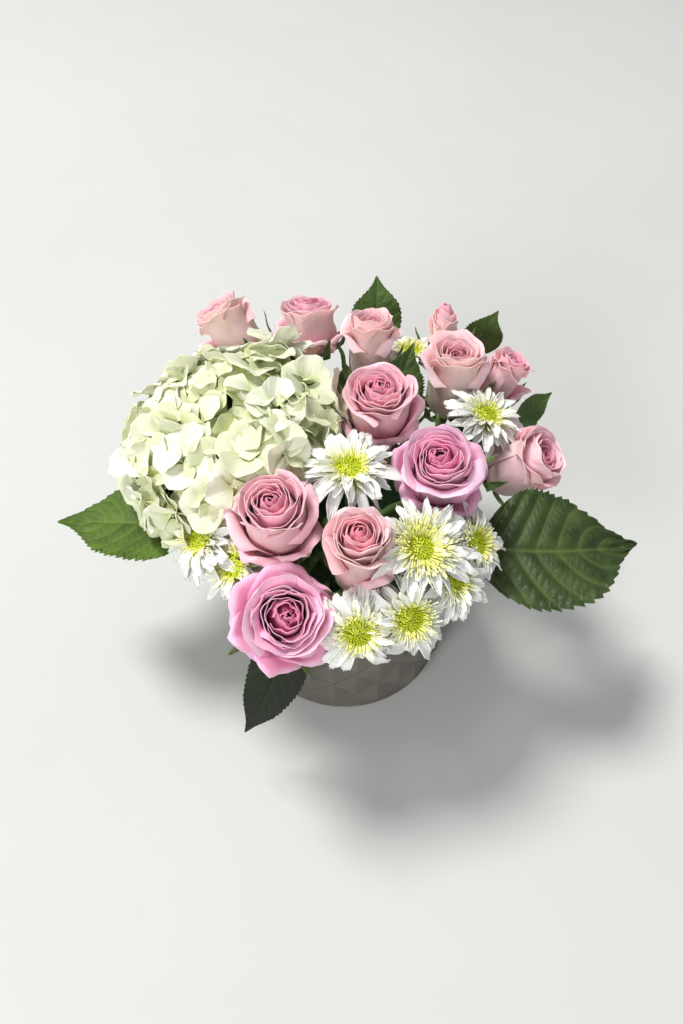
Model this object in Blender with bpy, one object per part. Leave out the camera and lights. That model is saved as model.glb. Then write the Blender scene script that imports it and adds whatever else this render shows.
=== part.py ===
"""A dome of roses, mums and one hydrangea, held by wet foam in a round faceted bowl.

Metres, +Z up. The origin is the middle of the bowl's flat underside, and -Y is the front.
Each flower head is a closed turned solid on its own stem, and every stem and leaf stalk is
pushed into its own hole in the foam.
"""

import math
from collections import namedtuple

import bmesh
import bpy
from mathutils import Vector
from mathutils.geometry import interpolate_bezier

MM = 0.001
GAP = 0.35 * MM  # between two pieces that touch

# The bowl: a flared wall with a lattice of lozenges, each raised to a point below its middle
BOWL_HEIGHT = 114 * MM
BASE_RADIUS = 66 * MM
RIM_RADIUS = 73.5 * MM
WALL = 5 * MM
BOWL_FLOOR = 6 * MM
PLAIN_BAND = 4 * MM  # at the foot and at the rim, above and below the lozenges
LOZENGES = 15
LATTICE_ROWS = 7
LOZENGE_RELIEF = 1.8 * MM
LOZENGE_POINT = 0.3  # of the lozenge's height, from its lower corner
RING_STEPS = 3 * LOZENGES

# The foam: a cylinder that stands proud of the rim
FOAM_RADIUS = 59 * MM
FOAM_TOP = 118 * MM
HOLE_CLEARANCE = 0.5 * MM
STEM_DEPTH = 42 * MM
# Each stem's place in the foam, as a share of its head's place above
ROSE_SPREAD = 0.4
MUM_SPREAD = 0.48
HYDRANGEA_SPREAD = 0.75
FAN_DEPTH = 230 * MM  # all the stems point away from the axis, this far under the foam's top
STRAIGHT_ABOVE = 3 * MM  # the foam
STRAIGHT_BELOW = 2 * MM  # a flower head

ROSE_STEM_RADIUS = 2.4 * MM
MUM_STEM_RADIUS = 1.7 * MM
HYDRANGEA_STEM_RADIUS = 4 * MM
STALK_RADIUS = 1.6 * MM
STEM_STEPS = 6
BEND_REACH = 0.34  # how far a stem runs on before it bends, as a share of its free length
HEAD_SIDES = 14

# A flower head: its middle in millimetres, its lean from upright, the heading that it leans
# toward (0 is +X, 90 is the back), and its size across and along its axis in millimetres.
# A root is given only where a stem has to enter the foam beside the straight way to it.
Head = namedtuple("Head", "x y z lean toward width height root", defaults=[None])

ROSES = [
    Head(-75, 126, 163, 36, 155, 42, 44),
    Head(-23, 116, 174, 18, 100, 46, 38),
    Head(16, 94, 175, 12, 90, 36, 44),
    Head(20, 36, 179, 6, 270, 50, 40),
    Head(69, 84, 157, 4, 45, 43, 52),
    Head(66, 120, 166, 14, 95, 30, 38),
    Head(104, 95, 149, 28, 20, 30, 36),
    Head(52, -12, 176, 18, 262, 50, 42),
    Head(109, 29, 136, 46, 345, 46, 44),
    Head(-38, -40, 169, 12, 250, 50, 42),
    Head(7, -62, 163, 10, 272, 38, 60),
    Head(-32, -88, 145, 32, 286, 52, 46),
]
MUMS = [
    Head(2, -18, 182, 6, 270, 36, 15),
    Head(86, 48, 158, 18, 350, 30, 15),
    Head(-80, -36, 145, 42, 215, 26, 15),
    Head(-61, -51, 140, 40, 236, 24, 15),
    Head(39, -61, 168, 26, 300, 24, 15),
    Head(56, -69, 153, 44, 312, 26, 15),
    Head(70, -46, 153, 44, 330, 24, 15),
    Head(7, -96, 145, 60, 270, 26, 15, (-4, -47)),
    Head(33, -90, 148, 52, 288, 26, 15),
    Head(44, 110, 156, 8, 60, 24, 15),
]
HYDRANGEA = Head(-70, 40, 161, 24, 188, 130, 70)

# A leaf: where its stalk enters the foam, where its blade starts, bends and ends, in
# millimetres, how wide it is, and the way that its upper side faces
Leaf = namedtuple("Leaf", "root neck middle tip width face")

LEAVES = [
    Leaf((-44, -2), (-84, -6, 119), (-132, 2, 113), (-182, 10, 104), 64, (0, 0, 1)),
    Leaf((40, -8), (76, -24, 123), (125, -28, 123), (182, -6, 102), 74, (0.0, -0.3, 1)),
    Leaf((-10, -50), (-28, -80, 118), (-44, -99, 84), (-61, -102, 38), 32, (-0.3, -1, 0.5)),
    Leaf((6, 52), (17, 120, 146), (21, 134, 172), (21, 144, 194), 34, (0.1, -1, 0.4)),
    Leaf((16, 24), (30, 58, 148), (35, 72, 168), (43, 88, 184), 28, (0.3, -1, 0.5)),
    Leaf((32, 45), (89, 124, 144), (93, 126, 162), (101, 128, 178), 28, (0.2, -1, 0.5)),
    Leaf((49, 26), (112, 72, 127), (126, 86, 131), (140, 98, 134), 18, (0.5, -0.8, 0.6)),
    Leaf((-38, 40), (-50, 72, 120), (-60, 112, 122), (-78, 150, 110), 60, (0, 0.2, 1)),
    Leaf((14, 53), (18, 80, 121), (26, 118, 124), (34, 154, 110), 60, (0, 0.2, 1)),
    Leaf((45, 33), (70, 50, 118), (104, 76, 114), (136, 102, 102), 54, (0.2, 0.2, 1)),
]
BLADE_STEPS = 8
BLADE_THICKNESS = 1.4 * MM
BLADE_FOLD = 0.16  # how far the blade's edges rise, as a share of its half width

# Turned outlines, from the stem to the top: radius and height as shares of width and height
OPEN_ROSE = [(0.16, 0), (0.56, 0.12), (0.86, 0.4), (1, 0.75), (0.8, 0.96), (0, 1)]
MUM = [(0.24, 0), (0.6, 0.14), (1, 0.6), (0.8, 0.9), (0, 1)]
GLOBE = [(0.14, 0), (0.55, 0.12), (0.86, 0.3), (1, 0.52), (0.93, 0.74), (0.62, 0.93), (0, 1)]

COLOURS = {
    "glazed_bowl": ((0.62, 0.59, 0.54), 0.55),
    "wet_foam": ((0.05, 0.12, 0.05), 0.9),
    "rose_petal": ((0.78, 0.34, 0.42), 0.55),
    "mum_petal": ((0.84, 0.84, 0.78), 0.55),
    "hydrangea_petal": ((0.80, 0.83, 0.70), 0.55),
    "leaf_green": ((0.07, 0.16, 0.05), 0.45),
    "stem_green": ((0.14, 0.26, 0.08), 0.55),
}


def clear_scene():
    for old in list(bpy.data.objects):
        bpy.data.objects.remove(old, do_unlink=True)


def make_materials():
    materials = {}
    for name, (colour, roughness) in COLOURS.items():
        materials[name] = bpy.data.materials.new(name)
        materials[name].use_nodes = True
        shader = materials[name].node_tree.nodes["Principled BSDF"]
        shader.inputs["Base Color"].default_value = (*colour, 1)
        shader.inputs["Roughness"].default_value = roughness
        shader.inputs["Metallic"].default_value = 0
    return materials


def add_object(name, data, material):
    data.materials.append(material)
    added = bpy.data.objects.new(name, data)
    bpy.context.scene.collection.objects.link(added)
    return added


def mesh_from(name, solid):
    """A Blender mesh of a finished bmesh, with its faces turned outward."""
    bmesh.ops.recalc_face_normals(solid, faces=solid.faces)
    mesh = bpy.data.meshes.new(name)
    solid.to_mesh(mesh)
    solid.free()
    return mesh


def point(*millimetres):
    return Vector(millimetres) * MM


def heading(degrees, length=1):
    return Vector((math.cos(math.radians(degrees)), math.sin(math.radians(degrees)), 0)) * length


# --- the bowl and its foam


def wall_radius(height):
    return BASE_RADIUS + (RIM_RADIUS - BASE_RADIUS) * height / BOWL_HEIGHT


def ring(solid, count, radius, height, turn=0.0):
    step = 360 / count
    return [
        solid.verts.new(heading((i + turn) * step, radius) + Vector((0, 0, height)))
        for i in range(count)
    ]


def join_rings(solid, lower, upper):
    for i in range(len(lower)):
        after = (i + 1) % len(lower)
        solid.faces.new((lower[i], lower[after], upper[after], upper[i]))


def join_row_to_ring(solid, row, fine, first):
    """Fans from each corner of a lattice row to the three nearest points of a fine ring."""
    for i, corner in enumerate(row):
        near = [fine[(3 * i + first + step) % len(fine)] for step in (-1, 0, 1, 2)]
        solid.faces.new((corner, near[0], near[1]))
        solid.faces.new((corner, near[1], near[2]))
        solid.faces.new((corner, near[2], near[3], row[(i + 1) % len(row)]))


def add_lozenge(solid, lower, left, right, upper):
    """Four facets that meet at a raised point; the two under it are narrow and steep."""
    middle = lower.co.lerp(upper.co, LOZENGE_POINT)
    side = left.co.lerp(right.co, 0.5)
    outward = Vector((side.x, side.y, 0)).normalized()
    reach = Vector((left.co.x, left.co.y, 0)).length + LOZENGE_RELIEF
    raised = solid.verts.new(outward * reach + Vector((0, 0, middle.z)))
    for edge in ((lower, right), (right, upper), (upper, left), (left, lower)):
        solid.faces.new((*edge, raised))


def make_bowl(material):
    solid = bmesh.new()
    lattice_height = BOWL_HEIGHT - 2 * PLAIN_BAND
    rows = []
    for k in range(LATTICE_ROWS + 1):
        height = PLAIN_BAND + lattice_height * k / LATTICE_ROWS
        rows.append(ring(solid, LOZENGES, wall_radius(height), height, 0.5 * (k % 2)))

    for k in range(LATTICE_ROWS + 1):
        # Odd rows are turned half a step, so the corner above or below i is i + shift.
        shift = k % 2
        for i in range(LOZENGES):
            left, right = rows[k][i], rows[k][(i + 1) % LOZENGES]
            beside = (i + shift) % LOZENGES
            if 0 < k < LATTICE_ROWS:
                add_lozenge(solid, rows[k - 1][beside], left, right, rows[k + 1][beside])
            elif k == 0:
                solid.faces.new((left, right, rows[1][beside]))
            else:
                solid.faces.new((left, right, rows[k - 1][beside]))

    foot = ring(solid, RING_STEPS, BASE_RADIUS, 0)
    rim = ring(solid, RING_STEPS, RIM_RADIUS, BOWL_HEIGHT, 0.5 * (LATTICE_ROWS % 2))
    inner_rim = ring(solid, RING_STEPS, RIM_RADIUS - WALL, BOWL_HEIGHT)
    inner_floor = ring(solid, RING_STEPS, BASE_RADIUS - WALL, BOWL_FLOOR)
    join_row_to_ring(solid, rows[0], foot, 0)
    join_row_to_ring(solid, rows[-1], rim, LATTICE_ROWS % 2)
    join_rings(solid, rim, inner_rim)
    join_rings(solid, inner_rim, inner_floor)
    solid.faces.new(foot)
    solid.faces.new(inner_floor)
    return add_object("bowl", mesh_from("bowl", solid), material)


def make_foam(material, runs):
    """runs: (foot, top, radius) of the straight part of each stem inside the foam."""
    bottom = BOWL_FLOOR + GAP
    solid = bmesh.new()
    upright = Vector((0, 0, (FOAM_TOP + bottom) / 2))
    bmesh.ops.create_cone(
        solid,
        cap_ends=True,
        segments=32,
        radius1=FOAM_RADIUS,
        radius2=FOAM_RADIUS,
        depth=FOAM_TOP - bottom,
    )
    bmesh.ops.translate(solid, verts=solid.verts, vec=upright)
    foam = add_object("floral_foam", mesh_from("floral_foam", solid), material)

    holes = bmesh.new()
    for start, end, radius in runs:
        along = (end - start).normalized()
        turn = along.to_track_quat("Z", "Y").to_matrix().to_4x4()
        turn.translation = (start + end) / 2
        bmesh.ops.create_cone(
            holes,
            cap_ends=True,
            segments=8,
            radius1=radius + HOLE_CLEARANCE,
            radius2=radius + HOLE_CLEARANCE,
            depth=(end - start).length + 2 * HOLE_CLEARANCE,
            matrix=turn,
        )
    cutter = bpy.data.objects.new("stem_holes", mesh_from("stem_holes", holes))
    bpy.context.scene.collection.objects.link(cutter)
    cutter.hide_render = True
    cutter.display_type = "WIRE"
    cut = foam.modifiers.new("stem_holes", "BOOLEAN")
    cut.operation = "DIFFERENCE"
    cut.object = cutter
    return foam


# --- stems and flower heads


def root_below(head_place, radius, spread):
    """Where a head's stem enters the foam: nearer the middle than the head itself."""
    root = Vector((head_place.x, head_place.y, 0)) * spread
    most = FOAM_RADIUS - 3 * radius
    if root.length > most:
        root.length = most
    return root


def stem_run(root):
    """The straight part of a stem: where it ends in the foam, just above it, and its way."""
    through = root + Vector((0, 0, FOAM_TOP))
    along = (through - Vector((0, 0, FOAM_TOP - FAN_DEPTH))).normalized()
    return through - along * STEM_DEPTH, through + along * STRAIGHT_ABOVE, along


def make_stem(name, root, end, end_direction, radius, material):
    """A stem that leaves the foam along its hole and bends to meet its head squarely."""
    start, above, along = stem_run(root)
    below = end - end_direction * STRAIGHT_BELOW
    reach = (below - above).length * BEND_REACH
    bend = interpolate_bezier(
        above, above + along * reach, below - end_direction * reach, below, STEM_STEPS
    )
    curve = bpy.data.curves.new(name, "CURVE")
    curve.dimensions = "3D"
    curve.bevel_depth = radius
    curve.bevel_resolution = 2
    curve.use_fill_caps = True
    spline = curve.splines.new("POLY")
    route = [start, *bend, end]
    spline.points.add(len(route) - 1)
    for place, target in zip(spline.points, route):
        place.co = (*target, 1)
    add_object(name, curve, material)
    return start, above, radius


def turned_mesh(name, outline, width, height):
    """A closed solid of revolution about Z, from its stem end at the origin upward."""
    solid = bmesh.new()
    corners = [solid.verts.new((0, 0, 0))]
    corners += [solid.verts.new((r * width / 2, 0, h * height)) for r, h in outline]
    for lower, upper in zip(corners, corners[1:]):
        solid.edges.new((lower, upper))
    bmesh.ops.spin(
        solid,
        geom=solid.verts[:] + solid.edges[:],
        cent=(0, 0, 0),
        axis=(0, 0, 1),
        angle=2 * math.pi,
        steps=HEAD_SIDES,
        use_merge=True,
    )
    bmesh.ops.remove_doubles(solid, verts=solid.verts, dist=0.001 * MM)
    mesh = mesh_from(name, solid)
    mesh.shade_smooth()
    return mesh


def make_flower(name, head, outline, stem_radius, petal, green, spread):
    """A head and its stem; gives back the stem's straight run inside the foam."""
    middle = point(head.x, head.y, head.z)
    lean = math.radians(head.lean)
    axis = heading(head.toward, math.sin(lean)) + Vector((0, 0, math.cos(lean)))
    base = middle - axis * head.height * MM / 2
    mesh = turned_mesh(name, outline, head.width * MM, head.height * MM)
    flower = add_object(name, mesh, petal)
    flower.location = base
    flower.rotation_mode = "QUATERNION"
    flower.rotation_quaternion = axis.to_track_quat("Z", "Y")
    root = point(*head.root, 0) if head.root else root_below(base, stem_radius, spread)
    return make_stem(name + "_stem", root, base - axis * GAP, axis, stem_radius, green)


# --- leaves


def blade_share(t):
    """The blade's half width along its length, as a share of its widest: an ovate leaf."""
    return math.sin(math.pi * t**0.8) ** 0.8


def make_leaf(name, leaf, material):
    """A folded blade and its stalk as one solid; gives back the stalk's run in the foam."""
    neck, middle, tip = (point(*place) for place in (leaf.neck, leaf.middle, leaf.tip))
    start, above, along = stem_run(point(*leaf.root, 0))
    reach = (neck - above).length * BEND_REACH
    outward = (middle - neck).normalized()
    stalk = interpolate_bezier(
        above, above + along * reach, neck - outward * reach, neck, STEM_STEPS
    )
    # The blade is a quadratic curve through its middle point.
    control = middle * 2 - (neck + tip) / 2
    route = [(start, STALK_RADIUS, STALK_RADIUS)]
    route += [(place, STALK_RADIUS, STALK_RADIUS) for place in stalk]
    for step in range(1, BLADE_STEPS):
        t = step / BLADE_STEPS
        place = neck * (1 - t) ** 2 + control * 2 * t * (1 - t) + tip * t**2
        half_width = leaf.width * MM / 2 * blade_share(t)
        route.append((place, half_width, BLADE_THICKNESS / 2))

    face = Vector(leaf.face).normalized()
    solid = bmesh.new()
    sections = []
    for i, (place, half_width, half_thickness) in enumerate(route):
        before = route[max(i - 1, 0)][0]
        after = route[i + 1][0] if i + 1 < len(route) else tip
        tangent = (after - before).normalized()
        side = tangent.cross(face).normalized()
        up = side.cross(tangent)
        rise = up * (half_width - STALK_RADIUS) * BLADE_FOLD
        sections.append(
            [
                solid.verts.new(place - side * half_width + rise),
                solid.verts.new(place - up * half_thickness),
                solid.verts.new(place + side * half_width + rise),
                solid.verts.new(place + up * half_thickness),
            ]
        )
    for lower, upper in zip(sections, sections[1:]):
        join_rings(solid, lower, upper)
    solid.faces.new(sections[0])
    end = solid.verts.new(tip)
    last = sections[-1]
    for i in range(len(last)):
        solid.faces.new((last[i], last[(i + 1) % len(last)], end))
    add_object(name, mesh_from(name, solid), material)
    return start, above, STALK_RADIUS


def main():
    clear_scene()
    materials = make_materials()
    green = materials["stem_green"]
    runs = []
    petal, radius = materials["rose_petal"], ROSE_STEM_RADIUS
    for number, head in enumerate(ROSES, 1):
        name = f"rose_{number:02d}"
        runs.append(make_flower(name, head, OPEN_ROSE, radius, petal, green, ROSE_SPREAD))
    petal, radius = materials["mum_petal"], MUM_STEM_RADIUS
    for number, head in enumerate(MUMS, 1):
        name = f"mum_{number:02d}"
        runs.append(make_flower(name, head, MUM, radius, petal, green, MUM_SPREAD))
    petal, radius = materials["hydrangea_petal"], HYDRANGEA_STEM_RADIUS
    runs.append(
        make_flower("hydrangea", HYDRANGEA, GLOBE, radius, petal, green, HYDRANGEA_SPREAD)
    )
    for number, leaf in enumerate(LEAVES, 1):
        runs.append(make_leaf(f"leaf_{number:02d}", leaf, materials["leaf_green"]))
    make_foam(materials["wet_foam"], runs)
    make_bowl(materials["glazed_bowl"])


main()
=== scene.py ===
# %% [markdown]
# A table centerpiece is a low dome of cut flowers standing in a bowl of wet foam.
# This lesson dresses its plain CAD solids with real petals, leaves and ceramic.
# The solids already stand where they belong, so every flower is grown around the
# place, size and lean that its own solid gives. Nothing is placed by eye.

# %% Load the CAD solids
import math
from functools import lru_cache

import bpy
import numpy as np
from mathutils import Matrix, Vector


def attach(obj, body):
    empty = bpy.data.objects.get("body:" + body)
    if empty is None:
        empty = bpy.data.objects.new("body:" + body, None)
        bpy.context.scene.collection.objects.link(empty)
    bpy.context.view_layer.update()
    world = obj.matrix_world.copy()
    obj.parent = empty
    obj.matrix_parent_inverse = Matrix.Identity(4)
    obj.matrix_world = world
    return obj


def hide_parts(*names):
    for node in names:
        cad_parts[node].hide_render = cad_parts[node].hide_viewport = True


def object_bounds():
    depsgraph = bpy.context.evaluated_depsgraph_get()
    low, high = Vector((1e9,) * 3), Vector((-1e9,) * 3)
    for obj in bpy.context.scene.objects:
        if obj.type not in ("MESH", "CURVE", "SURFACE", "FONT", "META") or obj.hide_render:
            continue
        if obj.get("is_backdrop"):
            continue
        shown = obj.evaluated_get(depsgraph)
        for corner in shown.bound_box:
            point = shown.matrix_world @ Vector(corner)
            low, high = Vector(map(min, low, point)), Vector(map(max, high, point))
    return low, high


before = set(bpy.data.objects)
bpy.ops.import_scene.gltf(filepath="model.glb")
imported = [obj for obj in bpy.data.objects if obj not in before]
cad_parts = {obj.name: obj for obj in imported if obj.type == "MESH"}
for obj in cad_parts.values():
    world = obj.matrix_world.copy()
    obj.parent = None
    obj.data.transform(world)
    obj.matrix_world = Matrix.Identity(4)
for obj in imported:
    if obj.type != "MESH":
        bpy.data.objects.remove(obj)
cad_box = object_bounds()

MM = 0.001
print("CAD solids:", len(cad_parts))

# %% [markdown]
# Petals and leaves are thin sheets that bend in two ways at once. A subdivided plane
# with modifiers could be bent into one petal, but this bouquet has thousands, each a
# little different. So each sheet is a grid of points found by arithmetic: rows run
# from its base to its tip, and columns from one edge to the other. The grid is given
# an upper and a lower skin and a thin border, because real petals have thickness.

# %% The skins of a sheet


@lru_cache(maxsize=None)
def sheet_faces(rows, columns):
    """Corner numbers of every face of a sheet: upper skin, lower skin and border."""
    number = np.arange(rows * columns).reshape(rows, columns)
    a, b = number[:-1, :-1].ravel(), number[:-1, 1:].ravel()
    c, d = number[1:, 1:].ravel(), number[1:, :-1].ravel()
    lower = rows * columns
    upper_skin = np.stack([a, d, c, b], axis=1)
    lower_skin = np.stack([a, b, c, d], axis=1) + lower
    edge = [number[0, :-1], number[:-1, -1], number[-1, :0:-1], number[:0:-1, 0]]
    edge = np.concatenate(edge)
    after = np.roll(edge, -1)
    border = np.stack([edge, after, after + lower, edge + lower], axis=1)
    return np.concatenate([upper_skin, lower_skin, border])


@lru_cache(maxsize=None)
def tube_faces(rows, sides):
    """Corner numbers of a tube's faces. Its ends close on two more points."""
    number = np.arange(rows * sides).reshape(rows, sides)
    beside = np.roll(number, -1, axis=1)
    wall = [number[:-1], beside[:-1], beside[1:], number[1:]]
    wall = np.stack([part.ravel() for part in wall], axis=1)
    first, last = rows * sides, rows * sides + 1
    bottom = np.stack([beside[0], number[0], np.full(sides, first)], axis=1)
    top = np.stack([number[-1], beside[-1], np.full(sides, last)], axis=1)
    return wall.tolist() + bottom.tolist() + top.tolist()


def facing(grid):
    """Unit vectors square to the grid, on its upper side."""
    square = np.cross(np.gradient(grid, axis=0), np.gradient(grid, axis=1))
    return square / np.maximum(np.linalg.norm(square, axis=2, keepdims=True), 1e-12)


print("a sheet of 9 by 9 points has", len(sheet_faces(9, 9)), "faces")
print("a tube of 5 rings of 7 points has", len(tube_faces(5, 7)), "faces")

# %% [markdown]
# Every point also carries a few numbers that the finishes read later: how far along
# the sheet it lies, how far across, how deep in the flower its petal sits, and a
# number of the petal's own. One flower is thus one mesh with one petal finish, yet
# no two of its petals have quite the same colour.

# %% Collect sheets and tubes into one mesh
CARRIED = ("along", "across", "outside", "layer", "shade", "vein")
CREASE = math.radians(80)  # a sheet's border stays a crisp edge, its skins stay smooth


def add_to_scene(name, data):
    made = bpy.data.objects.new(name, data)
    bpy.context.scene.collection.objects.link(made)
    return made


class Growth:
    """Collects thin sheets and tubes, which then become one piece."""

    def __init__(self):
        self.points, self.faces, self.kinds = [], [], []
        self.values = {}
        self.count = 0

    def keep(self, points, faces, kind, values):
        self.points.append(points)
        self.faces += [[corner + self.count for corner in face] for face in faces]
        self.kinds += [kind] * len(faces)
        for name in CARRIED:
            given = np.ravel(values.get(name, 0.0))
            full = np.broadcast_to(given, len(points))
            self.values.setdefault(name, []).append(full)
        self.count += len(points)

    def sheet(self, grid, thickness, kind=0, **values):
        """kind is the material's place; each value is one number or one per grid point."""
        rows, columns = grid.shape[:2]
        offset = facing(grid) * thickness / 2
        points = np.concatenate([grid + offset, grid - offset]).reshape(-1, 3)
        full = {"outside": np.repeat([0.0, 1.0], rows * columns)}
        full["along"] = np.tile(np.repeat(np.linspace(0, 1, rows), columns), 2)
        full["across"] = np.tile(np.linspace(-1, 1, columns), 2 * rows)
        for name, given in values.items():
            one_skin = np.broadcast_to(np.ravel(given), rows * columns)
            full[name] = np.tile(one_skin, 2)
        self.keep(points, sheet_faces(rows, columns).tolist(), kind, full)

    def tube(self, rings, kind=0, **values):
        """rings: (rows, sides, 3), closed at both ends."""
        rows, sides = rings.shape[:2]
        ends = rings.mean(axis=1)[[0, -1]]
        points = np.concatenate([rings.reshape(-1, 3), ends])
        along = np.repeat(np.linspace(0, 1, rows), sides)
        full = {"along": np.append(along, [0, 1]), **values}
        self.keep(points, tube_faces(rows, sides), kind, full)

    def piece(self, name, materials):
        mesh = bpy.data.meshes.new(name)
        mesh.from_pydata(np.concatenate(self.points).tolist(), [], self.faces)
        for key, parts in self.values.items():
            layer = mesh.attributes.new(key, "FLOAT", "POINT")
            layer.data.foreach_set("value", np.concatenate(parts).astype(np.float32))
        for material in materials:
            mesh.materials.append(material)
        mesh.polygons.foreach_set("material_index", self.kinds)
        mesh.shade_smooth()
        mesh.set_sharp_from_angle(angle=CREASE)
        return add_to_scene(name, mesh)


def fit(piece, slot, *nodes):
    """The piece rides on the arrangement and stands for its CAD solids."""
    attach(piece, "root")
    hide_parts(*nodes)
    print(piece.name, len(piece.data.polygons), "faces")


print("each point carries:", *CARRIED)

# %% [markdown]
# A stem or a stalk is a round skin on a bending line. To keep the skin from twisting,
# each ring is set square to the line with one fixed side direction.

# %% Rings round a line
ODD_WAY = [0.31, 0.95, 0.02]  # unlikely to be the direction of any stem or tube


def unit(vectors):
    length = np.linalg.norm(vectors, axis=-1, keepdims=True)
    return vectors / np.maximum(length, 1e-12)


def rings_round(line, radii, sides):
    """Rings of points round a line, square to it."""
    line = np.asarray(line, float)
    tangent = unit(np.gradient(line, axis=0))
    aside = unit(np.cross(tangent, ODD_WAY))
    other = np.cross(tangent, aside)
    turn = np.linspace(0, 2 * math.pi, sides, endpoint=False)[None, :, None]
    spoke = np.cos(turn) * aside[:, None] + np.sin(turn) * other[:, None]
    radii = np.broadcast_to(radii, len(line))[:, None, None]
    return line[:, None] + spoke * radii


def turned_rings(outline, sides):
    """Rings of a form turned about Z, from (radius, height) pairs going up."""
    outline = np.asarray(outline, float)
    turn = np.linspace(0, 2 * math.pi, sides, endpoint=False)
    spoke = np.stack([np.cos(turn), np.sin(turn), np.zeros(sides)], axis=1)
    upright = np.array([0, 0, 1.0]) * outline[:, 1, None, None]
    return spoke[None] * outline[:, 0, None, None] + upright


def smooth_line(corners, steps):
    """A finer line that passes through the same corners without kinks."""
    corners = np.asarray(corners, float)
    ends = [2 * corners[0] - corners[1]], [2 * corners[-1] - corners[-2]]
    padded = np.concatenate([ends[0], corners, ends[1]])
    at = np.linspace(0, len(corners) - 1, (len(corners) - 1) * steps + 1)
    first = np.minimum(at.astype(int), len(corners) - 2)
    t = (at - first).reshape(-1, *[1] * (corners.ndim - 1))
    a, b, c, d = (padded[first + k] for k in range(4))
    bend = (2 * a - 5 * b + 4 * c - d) * t**2 + (3 * b - a - 3 * c + d) * t**3
    return (2 * b + (c - a) * t + bend) / 2


def turned(x, y, z, turn):
    """Points from their three measures, turned about Z."""
    points = [x * np.cos(turn) - y * np.sin(turn), x * np.sin(turn) + y * np.cos(turn), z]
    return np.stack(points, axis=-1)


def smoothstep(low, high, x):
    t = np.clip((x - low) / (high - low), 0, 1)
    return t * t * (3 - 2 * t)


finer = smooth_line([(0, 0, 0), (0, 0, 1), (0, 1, 1)], 4)
print("a line of 3 corners becomes", len(finer), "points")

# %% [markdown]
# Each flower's solid is a plain turned form on the end of its stem. The middle of the
# form and the end of the stem give the flower's axis, and the form's corners measured
# along and square to that axis give its height and its radius.

# %% Read a flower's place from its solids
STEM_SIDES = 8  # a CAD stem ends in a ring of so many corners


def solid_points(name):
    """The corners of a CAD solid, each once."""
    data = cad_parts[name].data
    flat = np.empty(len(data.vertices) * 3)
    data.vertices.foreach_get("co", flat)
    return np.unique(flat.reshape(-1, 3).round(6), axis=0)


class Place:
    """A flower head's base, axis, radius and height, and the way into its own frame."""

    def __init__(self, name):
        head, stem = solid_points(name), solid_points(name + "_stem")
        middle = head.mean(axis=0)
        nearest = np.argsort(np.linalg.norm(stem - middle, axis=1))[:STEM_SIDES]
        end = stem[nearest].mean(axis=0)
        axis = unit(middle - end)
        height = (head - end) @ axis
        square = (head - end) - height[:, None] * axis
        self.middle, self.axis = middle, axis
        self.base = end + axis * height.min()
        self.height = height.max() - height.min()
        self.radius = np.linalg.norm(square, axis=1).max()
        back = unit(np.array([0, 1.0, 0]) - axis[1] * axis)
        self.frame = np.stack([np.cross(back, axis), back, axis])

    def put(self, points):
        """Points in the flower's own frame, with Z along its axis, set in place."""
        return self.base + points @ self.frame


ROSES = [f"rose_{i:02d}" for i in range(1, 13)]
MUMS = [f"mum_{i:02d}" for i in range(1, 11)]
places = {name: Place(name) for name in [*ROSES, *MUMS, "hydrangea"]}
for name, place in places.items():
    print(name, "radius", round(place.radius / MM, 1), "height", round(place.height / MM, 1))

# %% [markdown]
# Colours are easiest to pick as screen values from 0 to 255, but a shader works with
# light, so each is turned into a linear value first. A small helper adds a shader node
# with its settings and links in one line, which keeps the recipes readable.

# %% Helpers for finishes


def paint(red, green, blue):
    """A screen colour, 0 to 255, as the linear RGBA that a shader expects."""
    screen = np.array([red, green, blue]) / 255
    linear = np.where(screen < 0.04045, screen / 12.92, ((screen + 0.055) / 1.055) ** 2.4)
    return (*linear.tolist(), 1.0)


def add_node(tree, kind, inputs=None, **settings):
    """A shader node. An input's value is a number, a colour or another node's socket."""
    made = tree.nodes.new(kind)
    for key, value in settings.items():
        setattr(made, key, value)
    for key, value in (inputs or {}).items():
        if isinstance(value, bpy.types.NodeSocket):
            tree.links.new(value, made.inputs[key])
        else:
            made.inputs[key].default_value = value
    return made


def math_node(tree, operation, first, second=0.5):
    made = add_node(tree, "ShaderNodeMath", {0: first, 1: second}, operation=operation)
    return made.outputs[0]


def ramp(tree, value, low, high, start=0.0, end=1.0):
    """A smooth step from start to end as value goes from low to high."""
    inputs = {"Value": value, "From Min": low, "From Max": high, "To Min": start, "To Max": end}
    made = add_node(tree, "ShaderNodeMapRange", inputs, interpolation_type="SMOOTHSTEP")
    return made.outputs["Result"]


def mixed(tree, share, first, second, blend="MIX"):
    made = add_node(tree, "ShaderNodeMix", data_type="RGBA", blend_type=blend)
    for socket, value in zip((0, 6, 7), (share, first, second)):
        if isinstance(value, bpy.types.NodeSocket):
            tree.links.new(value, made.inputs[socket])
        else:
            made.inputs[socket].default_value = value
    return made.outputs[2]


def carried(tree, name):
    """A number that the mesh carries on each point."""
    return add_node(tree, "ShaderNodeAttribute", attribute_name=name).outputs["Fac"]


def new_group(name, inputs, outputs):
    """A node group with named sockets. inputs: (name, kind, value); outputs: (name, kind)."""
    tree = bpy.data.node_groups.new(name, "ShaderNodeTree")
    for label, kind, value in inputs:
        socket = tree.interface.new_socket(label, in_out="INPUT", socket_type=kind)
        socket.default_value = value
    for label, kind in outputs:
        tree.interface.new_socket(label, in_out="OUTPUT", socket_type=kind)
    given = tree.nodes.new("NodeGroupInput").outputs
    result = tree.nodes.new("NodeGroupOutput").inputs
    return tree, given, result


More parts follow.
